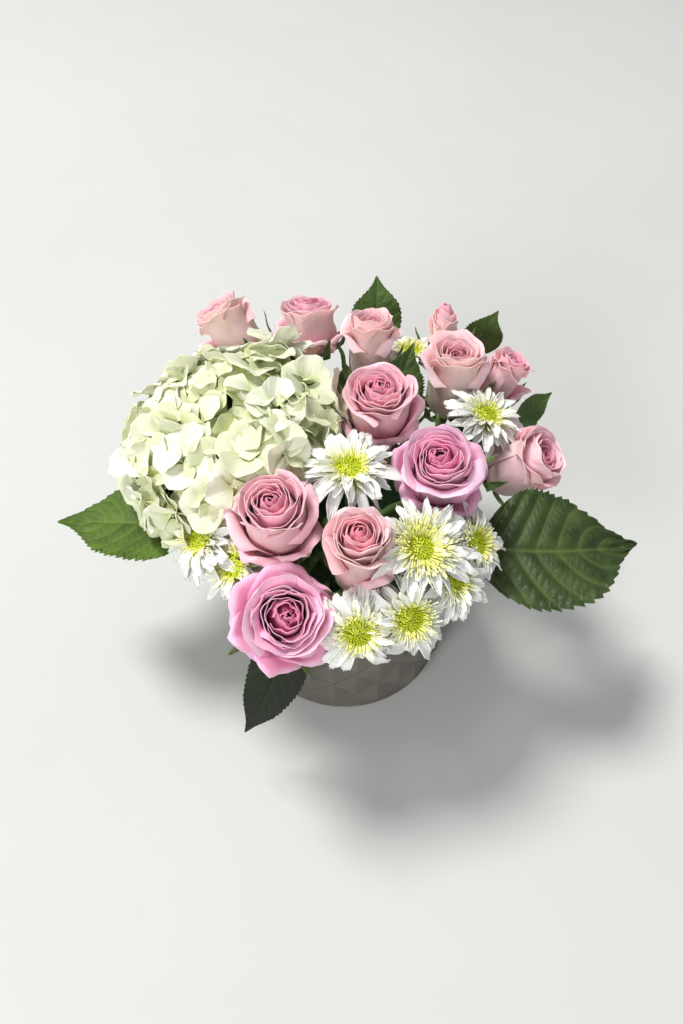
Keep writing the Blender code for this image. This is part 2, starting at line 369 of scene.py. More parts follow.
def new_finish(name, **constants):
    """A material and its main shader, with plain numbers on the shader's own sockets."""
    made = bpy.data.materials.new(name)
    made.use_nodes = True
    shader = made.node_tree.nodes["Principled BSDF"]
    for key, value in constants.items():
        shader.inputs[key.replace("_", " ")].default_value = value
    return made, made.node_tree, shader


def tinted(tree, colour, mask, share, other):
    """The colour, moved by a share of the mask toward the other colour."""
    return mixed(tree, math_node(tree, "MULTIPLY", mask, share), colour, other)


def finish_with(tree, shader, colour, height=None, strength=0.0, depth=0.0):
    """Gives the shader its colour and, where there is a height, fine bumps."""
    tree.links.new(colour, shader.inputs["Base Color"])
    if height is not None:
        bump = {"Height": height, "Strength": strength, "Distance": depth}
        bump = add_node(tree, "ShaderNodeBump", bump).outputs[0]
        tree.links.new(bump, shader.inputs["Normal"])


NUMBER = "NodeSocketFloat"
print("mid grey on screen is", round(paint(128, 128, 128)[0], 3), "of full light")

# %% [markdown]
# Petals and leaves share two effects. Fine ribs run along a petal from base to tip,
# and a soft mottling keeps any living surface from being one flat colour. Each is a
# node group, built once and placed in every finish with its own numbers.

# %% The ribs group and the mottling group
ribs, given, result = new_group(
    "petal ribs",
    [("Count", NUMBER, 12.0), ("Wander", NUMBER, 1.5)],
    [("Height", NUMBER), ("Streak", NUMBER)],
)
across = math_node(ribs, "MULTIPLY", carried(ribs, "across"), given["Count"])
along = math_node(ribs, "MULTIPLY", carried(ribs, "along"), given["Wander"])
own = math_node(ribs, "MULTIPLY", carried(ribs, "shade"), 37.0)
spot = add_node(ribs, "ShaderNodeCombineXYZ", {0: across, 1: along, 2: own}).outputs[0]
noise = add_node(ribs, "ShaderNodeTexNoise", {"Vector": spot, "Scale": 1.0, "Detail": 3.0})
ribs.links.new(noise.outputs["Fac"], result["Height"])
ribs.links.new(ramp(ribs, noise.outputs["Fac"], 0.35, 0.7), result["Streak"])

mottling, given, result = new_group(
    "soft mottling", [("Scale", NUMBER, 150.0)], [("Mask", NUMBER)]
)
where = add_node(mottling, "ShaderNodeTexCoord").outputs["Object"]
cloud = {"Vector": where, "Scale": given["Scale"], "Detail": 4.0, "Roughness": 0.6}
cloud = add_node(mottling, "ShaderNodeTexNoise", cloud).outputs["Fac"]
mottling.links.new(ramp(mottling, cloud, 0.3, 0.7), result["Mask"])


def put_group(tree, group, **values):
    """Places a node group in a finish, with its own values."""
    made = add_node(tree, "ShaderNodeGroup", node_tree=group)
    for key, value in values.items():
        made.inputs[key].default_value = value
    return made.outputs


print("shared effects:", [group.name for group in bpy.data.node_groups])

# %% [markdown]
# A rose petal is thin, velvety and slightly see-through. Deep in the flower it is a
# strong pink, towards the outer petals and along the rims it pales, its outside is
# paler still, and its foot fades to a greenish cream. The recipe takes four colours,
# so each variety of rose in the bouquet is the same recipe with its own colours.

# %% Rose petal finishes


def rose_finish(name, heart, face, rim, outside):
    made, tree, shader = new_finish(
        name,
        Roughness=0.52,
        Subsurface_Weight=0.25,
        Subsurface_Scale=0.005,
        Subsurface_Radius=(1.0, 0.45, 0.35),
        Sheen_Weight=0.25,
        Sheen_Roughness=0.4,
        Specular_IOR_Level=0.35,
    )
    layer, along = carried(tree, "layer"), carried(tree, "along")
    veins = put_group(tree, ribs, Count=16.0, Wander=1.6)
    clouds = put_group(tree, mottling, Scale=120.0)
    colour = mixed(tree, ramp(tree, layer, 0.0, 0.6), heart, face)
    near_rim, not_heart = ramp(tree, along, 0.55, 1.0), ramp(tree, layer, 0.0, 0.8, 0.2, 0.8)
    colour = tinted(tree, colour, near_rim, not_heart, rim)
    far_out = ramp(tree, layer, 0.3, 0.8)
    colour = tinted(tree, colour, carried(tree, "outside"), far_out, outside)
    foot = paint(228, 222, 178)
    colour = mixed(tree, ramp(tree, along, 0.02, 0.3, 0.9, 0.0), colour, foot)
    deeper = ramp(tree, carried(tree, "shade"), 0.0, 1.0, 0.0, 0.22)
    colour = mixed(tree, deeper, colour, heart)
    colour = tinted(tree, colour, veins["Streak"], 0.12, heart)
    colour = tinted(tree, colour, clouds["Mask"], 0.18, rim)
    finish_with(tree, shader, colour, veins["Height"], 0.35, 0.0004)
    return made


# The heart, the face, the rim and the outside of each variety's petals
ROSE_COLOURS = {
    "peach": [(238, 134, 160), (247, 194, 202), (251, 220, 220), (249, 218, 206)],
    "pink": [(236, 114, 152), (246, 178, 196), (251, 214, 220), (248, 210, 208)],
    "orchid": [(230, 90, 146), (244, 168, 206), (250, 208, 228), (247, 204, 216)],
    "blush": [(240, 96, 130), (246, 184, 196), (250, 222, 222), (243, 200, 196)],
}
rose_finishes = {
    variety: rose_finish("rose_" + variety, *(paint(*colour) for colour in colours))
    for variety, colours in ROSE_COLOURS.items()
}
print("rose finishes:", list(rose_finishes))

# %% [markdown]
# Sepals, stems and stalks are a plain matt green, a little lighter along some ribs.
# The recipe is shared, and only its two greens change.

# %% Green finishes


def green_finish(name, dark, light, roughness):
    made, tree, shader = new_finish(name, Roughness=roughness, Specular_IOR_Level=0.4)
    veins = put_group(tree, ribs, Count=9.0, Wander=3.0)
    clouds = put_group(tree, mottling, Scale=260.0)
    colour = tinted(tree, dark, veins["Streak"], clouds["Mask"], light)
    colour = tinted(tree, colour, clouds["Mask"], 0.4, light)
    finish_with(tree, shader, colour, veins["Height"], 0.4, 0.0004)
    return made


sepal_green = green_finish("sepal_green", paint(74, 104, 52), paint(128, 150, 88), 0.55)
stem_green = green_finish("stem_green", paint(70, 98, 44), paint(120, 146, 80), 0.5)
print("green finishes:", sepal_green.name, stem_green.name)

# %% [markdown]
# Seen from above, a florist's rose is a tight spiral of rims inside an upright cup,
# with a few guard petals outside it that lean out and roll back at their rims. Each
# petal is bent from one profile: out from the hip, up the wall of the cup, and over at
# the rim. The profile is a Bezier curve whose end slides from the middle of the flower
# to its outside as the petals go outward, so each petal lies just outside the last.

# %% The profile of a petal


def bezier(corners, v):
    """A curve from the first of four corners to the last, each (out, up)."""
    weights = (1 - v) ** 3, 3 * v * (1 - v) ** 2, 3 * v**2 * (1 - v), v**3
    return [sum(w * corner[k] for w, corner in zip(weights, corners)) for k in (0, 1)]


def rolled(r, z, roll):
    """The same profile, with each of its steps turned outward by an angle of its own."""
    step_r, step_z = np.diff(r, axis=0), np.diff(z, axis=0)
    turn_by = (roll[1:] + roll[:-1]) / 2
    new_r = step_r * np.cos(turn_by) + step_z * np.sin(turn_by)
    new_z = step_z * np.cos(turn_by) - step_r * np.sin(turn_by)
    r = np.concatenate([r[:1], r[:1] + np.cumsum(new_r, axis=0)])
    z = np.concatenate([z[:1], z[:1] + np.cumsum(new_z, axis=0)])
    return r, z


out, up = bezier([(0, 0), (1, 0), (1, 1), (0.5, 1)], 0.5)
print("halfway up, a cup's wall is", round(out, 3), "out and", round(up, 3), "up")

# %% [markdown]
# The cup's own measures follow. An open rose has a wide mouth and flat shoulders, and a
# bud a full belly and a narrow mouth. A petal that is laid back starts upright and
# falls outward, lower at its two shoulders than at its middle. Chance lifts, rolls,
# widens and ripples each petal a little.

# %% One rose petal
PETAL_ROWS, PETAL_COLUMNS = 18, 21


def rose_petal(place, openness, dome, turn, layer, flare, chance):
    """A grid of points in the rose's own frame. layer: 0 innermost to 1, the outside of
    the cup; flare: 0 upright to 1 laid right back; dome: how far the heart stands up."""
    radius, height = place.radius, place.height
    u = np.linspace(-1, 1, PETAL_COLUMNS)[None, :]
    v = 1 - (1 - np.linspace(0, 1, PETAL_ROWS)[:, None]) ** 1.3
    side = np.abs(u)
    laid_back = min(flare, 1)
    # A bud has an openness below 0: it is fuller at its belly and narrower at its mouth.
    bud = openness < 0
    belly = 0.87 - 0.17 * openness + 0.2 * bud
    wall = radius * (0.05 + belly * layer**0.9)
    mouth = 0.54 + 0.08 * openness - 0.2 * bud
    # The more a petal is laid back, the further out and the lower its rim ends.
    rim_radius = radius * (0.01 + mouth * layer + (1.0 - mouth) * flare)
    rim_radius = rim_radius + radius * flare * (0.19 * (1 - side) ** 1.4 + 0.04 * side**3)
    rim_height = height * (0.95 + dome * (0.5 - layer))
    rim_height = rim_height - height * (0.30 + 0.14 * openness) * flare
    drop = (0.05 + 0.04 * layer) * side**4 + 0.16 * flare * side**2.6
    rim_height = rim_height - height * drop
    rim_height = rim_height + height * (0.018 * chance.normal() + 0.022 * u)
    lean = math.radians(-44 + 46 * layer**0.8 + 70 * flare)
    reach = height * (0.40 - 0.2 * laid_back)

    # From the hip, past the belly of the cup and up its wall, to the rim
    start = radius * (0.03 + 0.11 * layer), height * 0.03 * (1 - layer)
    low = wall * 1.14, height * 0.02
    near_rim = rim_radius - reach * math.sin(lean), rim_height - reach * math.cos(lean)
    near_rim = near_rim[0] + 0.42 * (wall - rim_radius) * (1 - laid_back), near_rim[1]
    r, z = bezier([start, low, near_rim, (rim_radius, rim_height)], v)

    # The last of the petal rolls outward, more at its two shoulders.
    roll = 10 + (32 + 34 * openness) * layer**1.5 + 50 * laid_back
    roll = math.radians(roll) * (0.7 + 0.55 * side**2)
    roll = roll * (1 + 0.25 * chance.normal()) * smoothstep(0.78, 1.0, v)
    r, z = rolled(r, z, roll)

    # Its width, as an angle round the axis, and one edge tucked behind the next petal
    width = radius * (0.45 + 0.95 * layer - 0.42 * laid_back) * (1 + 0.05 * chance.normal())
    widening = 0.3 + 0.7 * np.sin(np.pi / 2 * np.minimum(v / 0.6, 1))
    middle_radius = r[:, PETAL_COLUMNS // 2, None]
    most = 2.6 - 0.9 * layer
    spread = np.minimum(width * widening / np.maximum(middle_radius, 0.08 * radius), most)
    spread = spread * (1 - 0.24 * laid_back * smoothstep(0.62, 1.0, v))
    angle = turn + u * spread
    r = r + radius * (0.03 + 0.035 * layer) * u * v
    # Ripples grow toward the rim and are deepest in the heart of an open rose.
    wave = chance.uniform(0, 2 * math.pi, 3)
    ripple = 0.022 * np.sin(2.3 * math.pi * u + wave[0])
    ripple = ripple + 0.014 * np.sin(5.1 * math.pi * u + wave[1]) * v**4
    crumple = 1.0 + 2.3 * max(openness, 0) * (1 - layer)
    r = r + radius * ripple * v**2 * (0.25 + 0.75 * layer) * crumple
    z = z + height * 0.016 * np.sin(3.3 * math.pi * u + wave[2]) * v**3 * (0.5 + layer)
    r = np.maximum(r, 0.004 * radius)
    # Petals halfway out lean a little to one side, so that the spiral isn't perfect.
    aside = radius * 0.035 * (1 - layer) * layer * 4 * chance.normal(size=2) * v
    grid = [r * np.cos(angle) + aside[:, :1], r * np.sin(angle) + aside[:, 1:], z]
    return np.stack(grid, axis=2)


trial = rose_petal(places["rose_08"], 0.9, 0.0, 0.0, 1.0, 0.0, np.random.default_rng(0))
print("an outer petal spans", (np.ptp(trial, axis=(0, 1)) / MM).round(1), "mm")

# %% [markdown]
# Under the petals a rose has a green hip and five sepals. In a bouquet they show only
# from the side, but without them a bud would float on its stem.

# %% The hip and sepals
SEPAL_THICKNESS = 0.4 * MM


def add_sepals(growth, place, chance):
    """A hip and five pointed sepals that hug the cup, with their tips turned out."""
    radius, height = place.radius, place.height
    hip = [(2.3, -1.5), (3.4, -0.8), (4.4, 0.6), (4.2, 2.0), (2.5, 2.6)]
    rings = turned_rings(np.array(hip) * MM, 14)
    growth.tube(place.put(rings), kind=1, shade=0.3)
    u = np.linspace(-1, 1, 7)[None, :]
    v = np.linspace(0, 1, 10)[:, None]
    for k in range(5):
        turn = 2 * math.pi * (k + 0.3 * chance.random()) / 5
        out = 0.06 + 0.16 * chance.random()
        length = height * chance.uniform(0.5, 0.68)
        # It hugs the cup, narrows to a point and turns out there.
        wall = np.minimum(radius * 0.98, 3.5 * MM + radius * 1.55 * v**0.62)
        r = wall * (0.94 + 0.1 * v) + radius * out * smoothstep(0.55, 1, v) * 1.4
        z = length * v**1.35 - 0.8 * MM - 0.08 * length * smoothstep(0.7, 1, v)
        half = 3.4 * MM * (1 - v) ** 0.75 * (0.55 + 0.9 * np.sqrt(v))
        angle = turn + u * half / np.maximum(r, 3 * MM)
        r = r + 0.5 * MM * u**2 + 0.9 * MM
        grid = np.stack([r * np.cos(angle), r * np.sin(angle), z + 0 * u], axis=2)
        growth.sheet(place.put(grid), SEPAL_THICKNESS, kind=1, shade=chance.random())


trial = Growth()
add_sepals(trial, places["rose_01"], np.random.default_rng(0))
print("a hip and its sepals have", trial.count, "points")

# %% [markdown]
# Every rose gets its own turn, openness, colours and guard petals. A guard petal is
# given as the heading it leans toward, seen down the flower's axis with 0 to the right
# and 270 to the front, and how far it lies back.

# %% Grow the roses
GOLDEN_TURN = math.radians(137.5)
CUP_THICKNESS, GUARD_THICKNESS = 0.3 * MM, 0.34 * MM

# Colours, openness, petals in the cup, dome, and the guard petals (heading, flare)
ROSE_LOOKS = {
    "rose_01": ("peach", 0.2, 12, -0.1, [(185, 1.05), (60, 0.55), (300, 0.15), (250, 0.1)]),
    "rose_02": ("pink", 0.9, 17, 0.06, [(190, 1.0), (340, 0.95), (265, 0.8), (80, 0.6), (135, 0.7)]),
    "rose_03": ("peach", 0.1, 13, -0.12, [(180, 0.5), (0, 0.5), (270, 0.14), (90, 0.2)]),
    "rose_04": ("pink", 1.0, 18, 0.06, [(236, 0.85), (304, 0.85), (170, 0.8), (12, 0.8), (90, 0.4)]),
    "rose_05": ("peach", 0.1, 14, -0.12, [(20, 0.5), (165, 0.45), (275, 0.14), (90, 0.3)]),
    "rose_06": ("peach", -0.2, 10, 0.24, [(120, 0.1), (235, 0.05), (0, 0.05)]),
    "rose_07": ("pink", 0.3, 12, -0.05, [(345, 1.2), (90, 0.4), (210, 0.3)]),
    "rose_08": ("orchid", 0.9, 17, 0.06, [(300, 1.1), (225, 0.8), (150, 0.85), (75, 0.7), (0, 0.6)]),
    "rose_09": ("pink", 0.15, 14, -0.08, [(60, 0.3), (175, 0.25), (285, 0.2), (0, 0.3)]),
    "rose_10": ("pink", 0.6, 16, 0.05, [(238, 0.95), (308, 0.9), (175, 0.6), (15, 0.5), (95, 0.3)]),
    "rose_11": ("blush", 0.15, 15, 0.04, [(312, 0.95), (60, 0.2), (150, 0.12), (230, 0.08)]),
    "rose_12": (
        "orchid", 1.0, 17, 0.0,
        [(262, 1.1), (316, 1.0), (205, 1.0), (150, 0.9), (90, 0.75), (25, 0.85)],
    ),
}


def grow_rose(name, seed):
    colours, openness, cup_petals, dome, guards = ROSE_LOOKS[name]
    place = places[name]
    chance = np.random.default_rng(seed)
    growth = Growth()
    turn = chance.uniform(0, 2 * math.pi)
    for i in range(cup_petals):
        layer = (i / (cup_petals - 1)) ** 1.1
        turn += GOLDEN_TURN + chance.normal() * 0.08
        grid = rose_petal(place, openness, dome, turn, layer, 0.0, chance)
        shade = chance.random()
        growth.sheet(place.put(grid), CUP_THICKNESS, layer=0.8 * layer, shade=shade)
    for heading, flare in guards:
        outer = 1.0 + 0.05 * chance.random()
        heading = math.radians(heading)
        grid = rose_petal(place, openness, dome, heading, outer, flare, chance)
        growth.sheet(place.put(grid), GUARD_THICKNESS, layer=0.9, shade=chance.random())
    add_sepals(growth, place, chance)
    piece = growth.piece(name + "_petals", [rose_finishes[colours], sepal_green])
    fit(piece, "rose_petal", name)


for seed, name in enumerate(ROSES, 1):
    grow_rose(name, seed)

# %% [markdown]
# A mum is hundreds of small flowers on one head. The outer ones each carry one long
# white ray petal with ribs and a notched tip; towards the eye they shorten to thin
# cream tubes, and the eye itself is a button of tiny green-yellow ones. White petals
# take their colour from the light round them, so the finish stays close to white and
# only warms to yellow near the eye.

# %% Mum finishes


def mum_petal_finish():
    made, tree, shader = new_finish(
        "mum_petal_white",
        Roughness=0.5,
        Subsurface_Weight=0.2,
        Subsurface_Scale=0.004,
        Subsurface_Radius=(1.0, 1.0, 0.7),
        Sheen_Weight=0.12,
        Specular_IOR_Level=0.4,
    )
    layer, along = carried(tree, "layer"), carried(tree, "along")
    veins = put_group(tree, ribs, Count=7.0, Wander=0.8)
    clouds = put_group(tree, mottling, Scale=180.0)
    cream, white = paint(242, 242, 84), paint(249, 250, 246)
    colour = mixed(tree, ramp(tree, layer, 0.02, 0.46), cream, white)
    foot = ramp(tree, along, 0.0, 0.55, 0.85, 0.0)
    colour = mixed(tree, foot, colour, paint(232, 238, 96))
    colour = tinted(tree, colour, veins["Streak"], 0.16, paint(214, 218, 204))
    colour = tinted(tree, colour, clouds["Mask"], 0.2, paint(250, 248, 236))
    finish_with(tree, shader, colour, veins["Height"], 0.5, 0.0005)
    return made


def mum_eye_finish():
    made, tree, shader = new_finish("mum_eye_green", Roughness=0.6)
    clouds = put_group(tree, mottling, Scale=500.0)
    layer, along = carried(tree, "layer"), carried(tree, "along")
    colour = mixed(tree, layer, paint(150, 190, 14), paint(222, 234, 24))
    tip = ramp(tree, along, 0.5, 1.0, 0.0, 0.6)
    colour = mixed(tree, tip, colour, paint(226, 226, 60))
    colour = tinted(tree, colour, clouds["Mask"], 0.25, paint(96, 140, 16))
    finish_with(tree, shader, colour)
    return made


mum_white, mum_green = mum_petal_finish(), mum_eye_finish()
print("mum finishes:", mum_white.name, mum_green.name)

# %% [markdown]
# A ray petal is a trough with a notched tip that bends down along its length. A path
# that turns a little at each step gives its middle line, and the trough is laid across
# it. A tube is the same kind of path with rings round it, wider at its mouth.

# %% One ray petal and one tube of a mum
QUILL_SHAPE = np.array([0.7, 0.8, 0.9, 1.2, 1.5])  # its radius from foot to mouth


def ray_petal(turn, start, length, width, rise, droop, chance):
    """A ribbed trough from a start (radius, height), climbing at rise and then bending
    down by droop."""
    u = np.linspace(-1, 1, 9)[None, :]
    v = np.linspace(0, 1, 10)[:, None]
    climb = rise - droop * v**1.3
    step = np.full(10, 1 / 9)[:, None] * length
    out = np.cumsum(np.cos(climb) * step, axis=0) - np.cos(climb[0]) * step[0]
    up = np.cumsum(np.sin(climb) * step, axis=0) - np.sin(climb[0]) * step[0]
    # The tip is notched, the foot is narrow, and two ribs run along the trough.
    notch = 1 - 0.12 * u**2 * v**2 + 0.035 * np.cos(3 * math.pi * u) * v**8
    narrow = 0.34 + 0.66 * np.sin(math.pi / 2 * np.minimum(v / 0.55, 1))
    narrow = narrow * (1 - 0.42 * np.clip((v - 0.72) / 0.28, 0, 1) ** 2)
    trough = width * narrow * (0.30 * u**2 + 0.05 * np.cos(4 * math.pi * u))
    twist = chance.normal() * 0.35 * v
    across = u * width / 2 * narrow
    lift = trough + across * np.sin(twist)
    sway = chance.normal() * 0.10 * length * v**2
    x = start[0] + out * notch - lift * np.sin(climb)
    y = across * np.cos(twist) + sway
    z = start[1] + up * notch + lift * np.cos(climb)
    return turned(x, y, z, turn)


def quill(turn, start, length, radius, rise, bend, chance):
    """A thin tube that flares a little at its mouth."""
    v = np.linspace(0, 1, 5)
    climb = rise - bend * v
    out = np.cumsum(np.cos(climb)) * length / 5
    up = np.cumsum(np.sin(climb)) * length / 5
    aside = chance.normal() * 0.14 * length * v**2
    x, z = start[0] + out - out[0], start[1] + up - up[0]
    return rings_round(turned(x, aside, z, turn), radius * QUILL_SHAPE, 5)


trial = ray_petal(0, (0, 0), 25 * MM, 6 * MM, 0.4, 0.6, np.random.default_rng(0))
print("a ray petal spans", (np.ptp(trial, axis=(0, 1)) / MM).round(1), "mm")

# %% [markdown]
# The rings of a mum overlap like roof tiles: the lowest ring is the longest and lies
# nearly flat, and each ring above is shorter and stands steeper. The tubes and the
# button fill the middle on a low dome.

# %% The measures of the mums
# Each ring of ray petals: how many, length, width, start radius, rise and droop
MUM_RINGS = [
    (13, 1.00, 6.6, 4.2, 8, 40),
    (14, 0.97, 6.2, 4.4, 20, 44),
    (13, 0.84, 5.6, 4.6, 32, 42),
    (13, 0.62, 4.4, 5.0, 46, 36),
]
RAY_THICKNESS = 0.28 * MM
# The green cup under the head and the cream dome under its eye: radius and height
MUM_CUP = np.array([(1.9, -1.0), (2.6, 0), (5.2, 2.4), (6.6, 5.0), (6.4, 5.4)])
MUM_DOME = np.array([(6.5, 5.2), (7.4, 7.6), (6.4, 9.2), (3.6, 10.2), (0.4, 10.6)])
BUTTON_SHARE = 0.26  # of the reach
EYE_TUBES, QUILLS = 140, 150

# The reach of each mum's petals, in millimetres, how far they hang, and its quills
MUM_LOOKS = {
    "mum_01": (31, 0.8, QUILLS),
    "mum_02": (29, 0.8, QUILLS),
    "mum_03": (29, 1.0, QUILLS),
    "mum_04": (28, 1.1, QUILLS),
    "mum_05": (32, 0.7, 320),
    "mum_06": (26, 1.0, QUILLS),
    "mum_07": (26, 1.1, QUILLS),
    "mum_08": (31, 2.0, QUILLS),
    "mum_09": (30, 1.8, QUILLS),
    "mum_10": (25, 0.9, QUILLS),
}
print("ray petals on a mum:", sum(ring[0] for ring in MUM_RINGS))

# %% [markdown]
# One function lays the rings of ray petals, one the quills and one the eye. A petal's
# length, width, climb and bend each vary by chance, because no two on a real head are
# alike. A green cup closes the head from below, and a cream dome fills it under the eye.

# %% Grow the mums


def grow_rays(growth, place, top, reach, hang, chance):
    """The rings of white ray petals, from the lowest up."""
    for ring, (number, length, width, start, rise, droop) in enumerate(MUM_RINGS):
        layer = 1 - 0.22 * ring
        for k in range(number):
            turn = 2 * math.pi * (k + 0.5 * ring + 0.18 * chance.normal()) / number
            size = (reach - start) * length * chance.uniform(0.72, 1.08) * MM
            climb = math.radians(rise + 8 * chance.normal())
            bend = math.radians(droop * hang * chance.uniform(0.7, 1.4))
            from_here = (start * MM, top - 3.4 * MM + ring * 0.9 * MM)
            wide = width * chance.uniform(0.78, 1.12) * MM
            grid = ray_petal(turn, from_here, size, wide, climb, bend, chance)
            growth.sheet(place.put(grid), RAY_THICKNESS, layer=layer, shade=chance.random())


def grow_quills(growth, place, top, button, quills, chance):
    """The cream tubes round the eye, longer and flatter toward the outside."""
    for k in range(quills):
        turn = k * GOLDEN_TURN
        share = (k + 0.5) / quills
        start = (button * (0.78 + 0.24 * share), top + 1.2 * MM - 2.0 * MM * share)
        size = chance.uniform(5.2, 8.8) * MM * (0.7 + 0.75 * share) * (quills / QUILLS) ** 0.6
        climb = math.radians(78 - 38 * share + 8 * chance.normal())
        tube = quill(turn, start, size, 0.36 * MM, climb, 0.6, chance)
        growth.tube(place.put(tube), layer=0.05 + 0.25 * share, shade=chance.random())


def grow_eye(growth, place, top, button, chance):
    """The button of short green tubes, spread evenly over a low dome."""
    for k in range(EYE_TUBES):
        share = math.sqrt((k + 0.5) / EYE_TUBES)
        turn = k * GOLDEN_TURN
        start = (button * 0.96 * share, top + 1.6 * MM * (1 - share**2))
        size = (1.3 + 1.5 * share) * MM
        tube = quill(turn, start, size, 0.46 * MM, 1.5 - 0.5 * share, 0.2, chance)
        growth.tube(place.put(tube), kind=1, layer=share, shade=chance.random())


def grow_mum(name, seed):
    place = places[name]
    reach, hang, quills = MUM_LOOKS[name]
    chance = np.random.default_rng(seed)
    growth = Growth()
    top = place.height * 0.62
    button = reach * BUTTON_SHARE * MM
    grow_rays(growth, place, top, reach, hang, chance)
    grow_quills(growth, place, top, button, quills, chance)
    grow_eye(growth, place, top, button, chance)
    to_top = np.array([MM, top / 10.4 + 0.00006])
    cup = turned_rings(MUM_CUP * to_top, 16)
    growth.tube(place.put(cup), kind=2, layer=0.4, shade=0.5)
    dome = turned_rings(MUM_DOME * to_top, 16)
    growth.tube(place.put(dome), kind=0, layer=0.02, shade=0.5)
    piece = growth.piece(name + "_petals", [mum_white, mum_green, sepal_green])
    fit(piece, "mum_petal", name)


for seed, name in enumerate(MUMS, 101):
    grow_mum(name, seed)

# %% [markdown]
# A hydrangea head is a dome of a hundred or more small flowers, each with four broad
# sepals that look like petals round a tiny bead. They crowd and tilt every way, so the
# dome is bright at its outside and greenish in the gaps. The flowers are spread evenly
# over the dome with the golden angle, and each is then tilted and turned by chance.

# %% Hydrangea finishes


def hydrangea_finish():
    made, tree, shader = new_finish(
        "hydrangea_cream",
        Roughness=0.55,
        Subsurface_Weight=0.22,
        Subsurface_Scale=0.005,
        Subsurface_Radius=(1.0, 1.0, 0.6),
        Sheen_Weight=0.12,
        Specular_IOR_Level=0.35,
    )
    along, layer = carried(tree, "along"), carried(tree, "layer")
    veins = put_group(tree, ribs, Count=8.0, Wander=1.6)
    clouds = put_group(tree, mottling, Scale=110.0)
    colour = mixed(tree, layer, paint(216, 223, 150), paint(239, 239, 217))
    foot = ramp(tree, along, 0.0, 0.5, 0.8, 0.0)
    colour = mixed(tree, foot, colour, paint(212, 226, 136))
    colour = tinted(tree, colour, veins["Streak"], 0.35, paint(224, 228, 190))
    colour = tinted(tree, colour, clouds["Mask"], 0.3, paint(230, 236, 206))
    finish_with(tree, shader, colour, veins["Height"], 0.7, 0.0006)
    return made


hydrangea_cream = hydrangea_finish()
print("hydrangea finish:", hydrangea_cream.name)

# %% [markdown]
# One small flower is four broad sepals round a bead. A sepal starts narrow, is widest
# past its middle and ends round. It is cupped across, rises from the bead and bends
# back, and its margin waves, each by a chance amount.

# %% One small flower of the hydrangea


def frame_along(axis, chance):
    """Three square directions with the last along axis, turned by chance about it."""
    helper = unit(chance.normal(size=3))
    side = unit(np.cross(axis, helper))
    return np.stack([side, np.cross(axis, side), axis])


def broad_sepal(turn, length, width, rise, droop, chance):
    """A cupped sepal that rises by rise, bends back by droop and ends round."""
    u = np.linspace(-1, 1, 9)[None, :]
    v = np.linspace(0, 1, 9)[:, None]
    climb = rise - droop * v
    step = length / 9
    out = np.cumsum(np.cos(climb) * step, axis=0)
    up = np.cumsum(np.sin(climb) * step, axis=0)
    half = width / 2 * (0.10 + 0.90 * np.sin(math.pi / 2 * np.minimum(v / 0.6, 1)) ** 1.1)
    shorter = 1 - 0.48 * (1 - np.sqrt(1 - 0.94 * u**2)) * smoothstep(0.1, 1.0, v)
    shorter = shorter + 0.05 * (1 - np.abs(u)) ** 2 * v**4
    across = u * half * (1 - 0.08 * smoothstep(0.75, 1, v))
    wave = chance.uniform(0, 2 * math.pi)
    ripple = 0.06 * length * np.sin(1.7 * math.pi * u + wave) * v**2
    cup = 0.24 * half * u**2 * chance.normal(0.7, 0.7) + ripple
    crease = 0.035 * width * np.abs(u) ** 0.7 * v
    x = out * shorter + 0.6 * MM
    z = up * shorter + cup + crease
    return turned(x, across, z, turn)


def bead_rings(radius):
    outline = [(0.35, 0), (0.9, 0.5), (1.0, 1.1), (0.6, 1.7), (0.1, 1.95)]
    return turned_rings(np.array(outline) * radius, 7)


trial = broad_sepal(0, 19 * MM, 20 * MM, 0.6, 0.6, np.random.default_rng(0))
print("a sepal spans", (np.ptp(trial, axis=(0, 1)) / MM).round(1), "mm")

# %% [markdown]
# The small flowers are spread over a squashed globe that is a little smaller than the
# solid, because their sepals reach past it. Some more sit deeper and close the gaps,
# and any that would grow inside a rose or a mum is left out. Each has a thin stalk
# that runs back to the globe's middle. A pale core stands for the crowd of stalks, so
# that no dark hole shows between the sepals.

# %% The globe of the hydrangea
FLORETS, INNER_FLORETS = 150, 40
FLORET_THICKNESS = 0.26 * MM
COVERED = 1.72  # of the globe's height, which is 2 here: the foot of the dome stays bare
CORE_SHARE = 0.62  # of the globe: the crowd of stalks inside it
# The globe is a little smaller than the solid, and its middle is lower and nearer the
# front, where the real head is fullest.
hydrangea_place = places["hydrangea"]
globe_width = hydrangea_place.radius - 0.5 * MM
globe_half = hydrangea_place.height * 0.52
globe_middle = hydrangea_place.base + hydrangea_place.axis * hydrangea_place.height * 0.47
globe_middle += np.array([0, -10, -4]) * MM


def clear_of_flowers(point):
    """False where a small flower would sit inside a rose or a mum."""
    for name in [*ROSES, *MUMS]:
        other = places[name]
        room = other.radius * (0.98 if name in ROSES else 1.0)
        if np.linalg.norm(point - other.middle) < room:
            return False
    return True


print("globe", round(globe_width / MM, 1), "by", round(globe_half / MM, 1), "mm")

# %% [markdown]
# The golden angle spreads the spots evenly, because it never repeats a direction. Each
# small flower is then tilted, turned and sized by chance, and the ones that sit deeper
# take the greener colour. Only a spot that is clear of the other flowers grows one.

# %% Grow the hydrangea


def grow_core(growth):
    """The pale core inside the head."""
    turn = np.linspace(-0.48, 0.48, 9) * math.pi
    core = np.stack([np.cos(turn) * globe_width, np.sin(turn) * globe_half], axis=1) * CORE_SHARE
    core = globe_middle + turned_rings(core, 20) @ hydrangea_place.frame
    growth.tube(core, layer=0.0, shade=0.5)


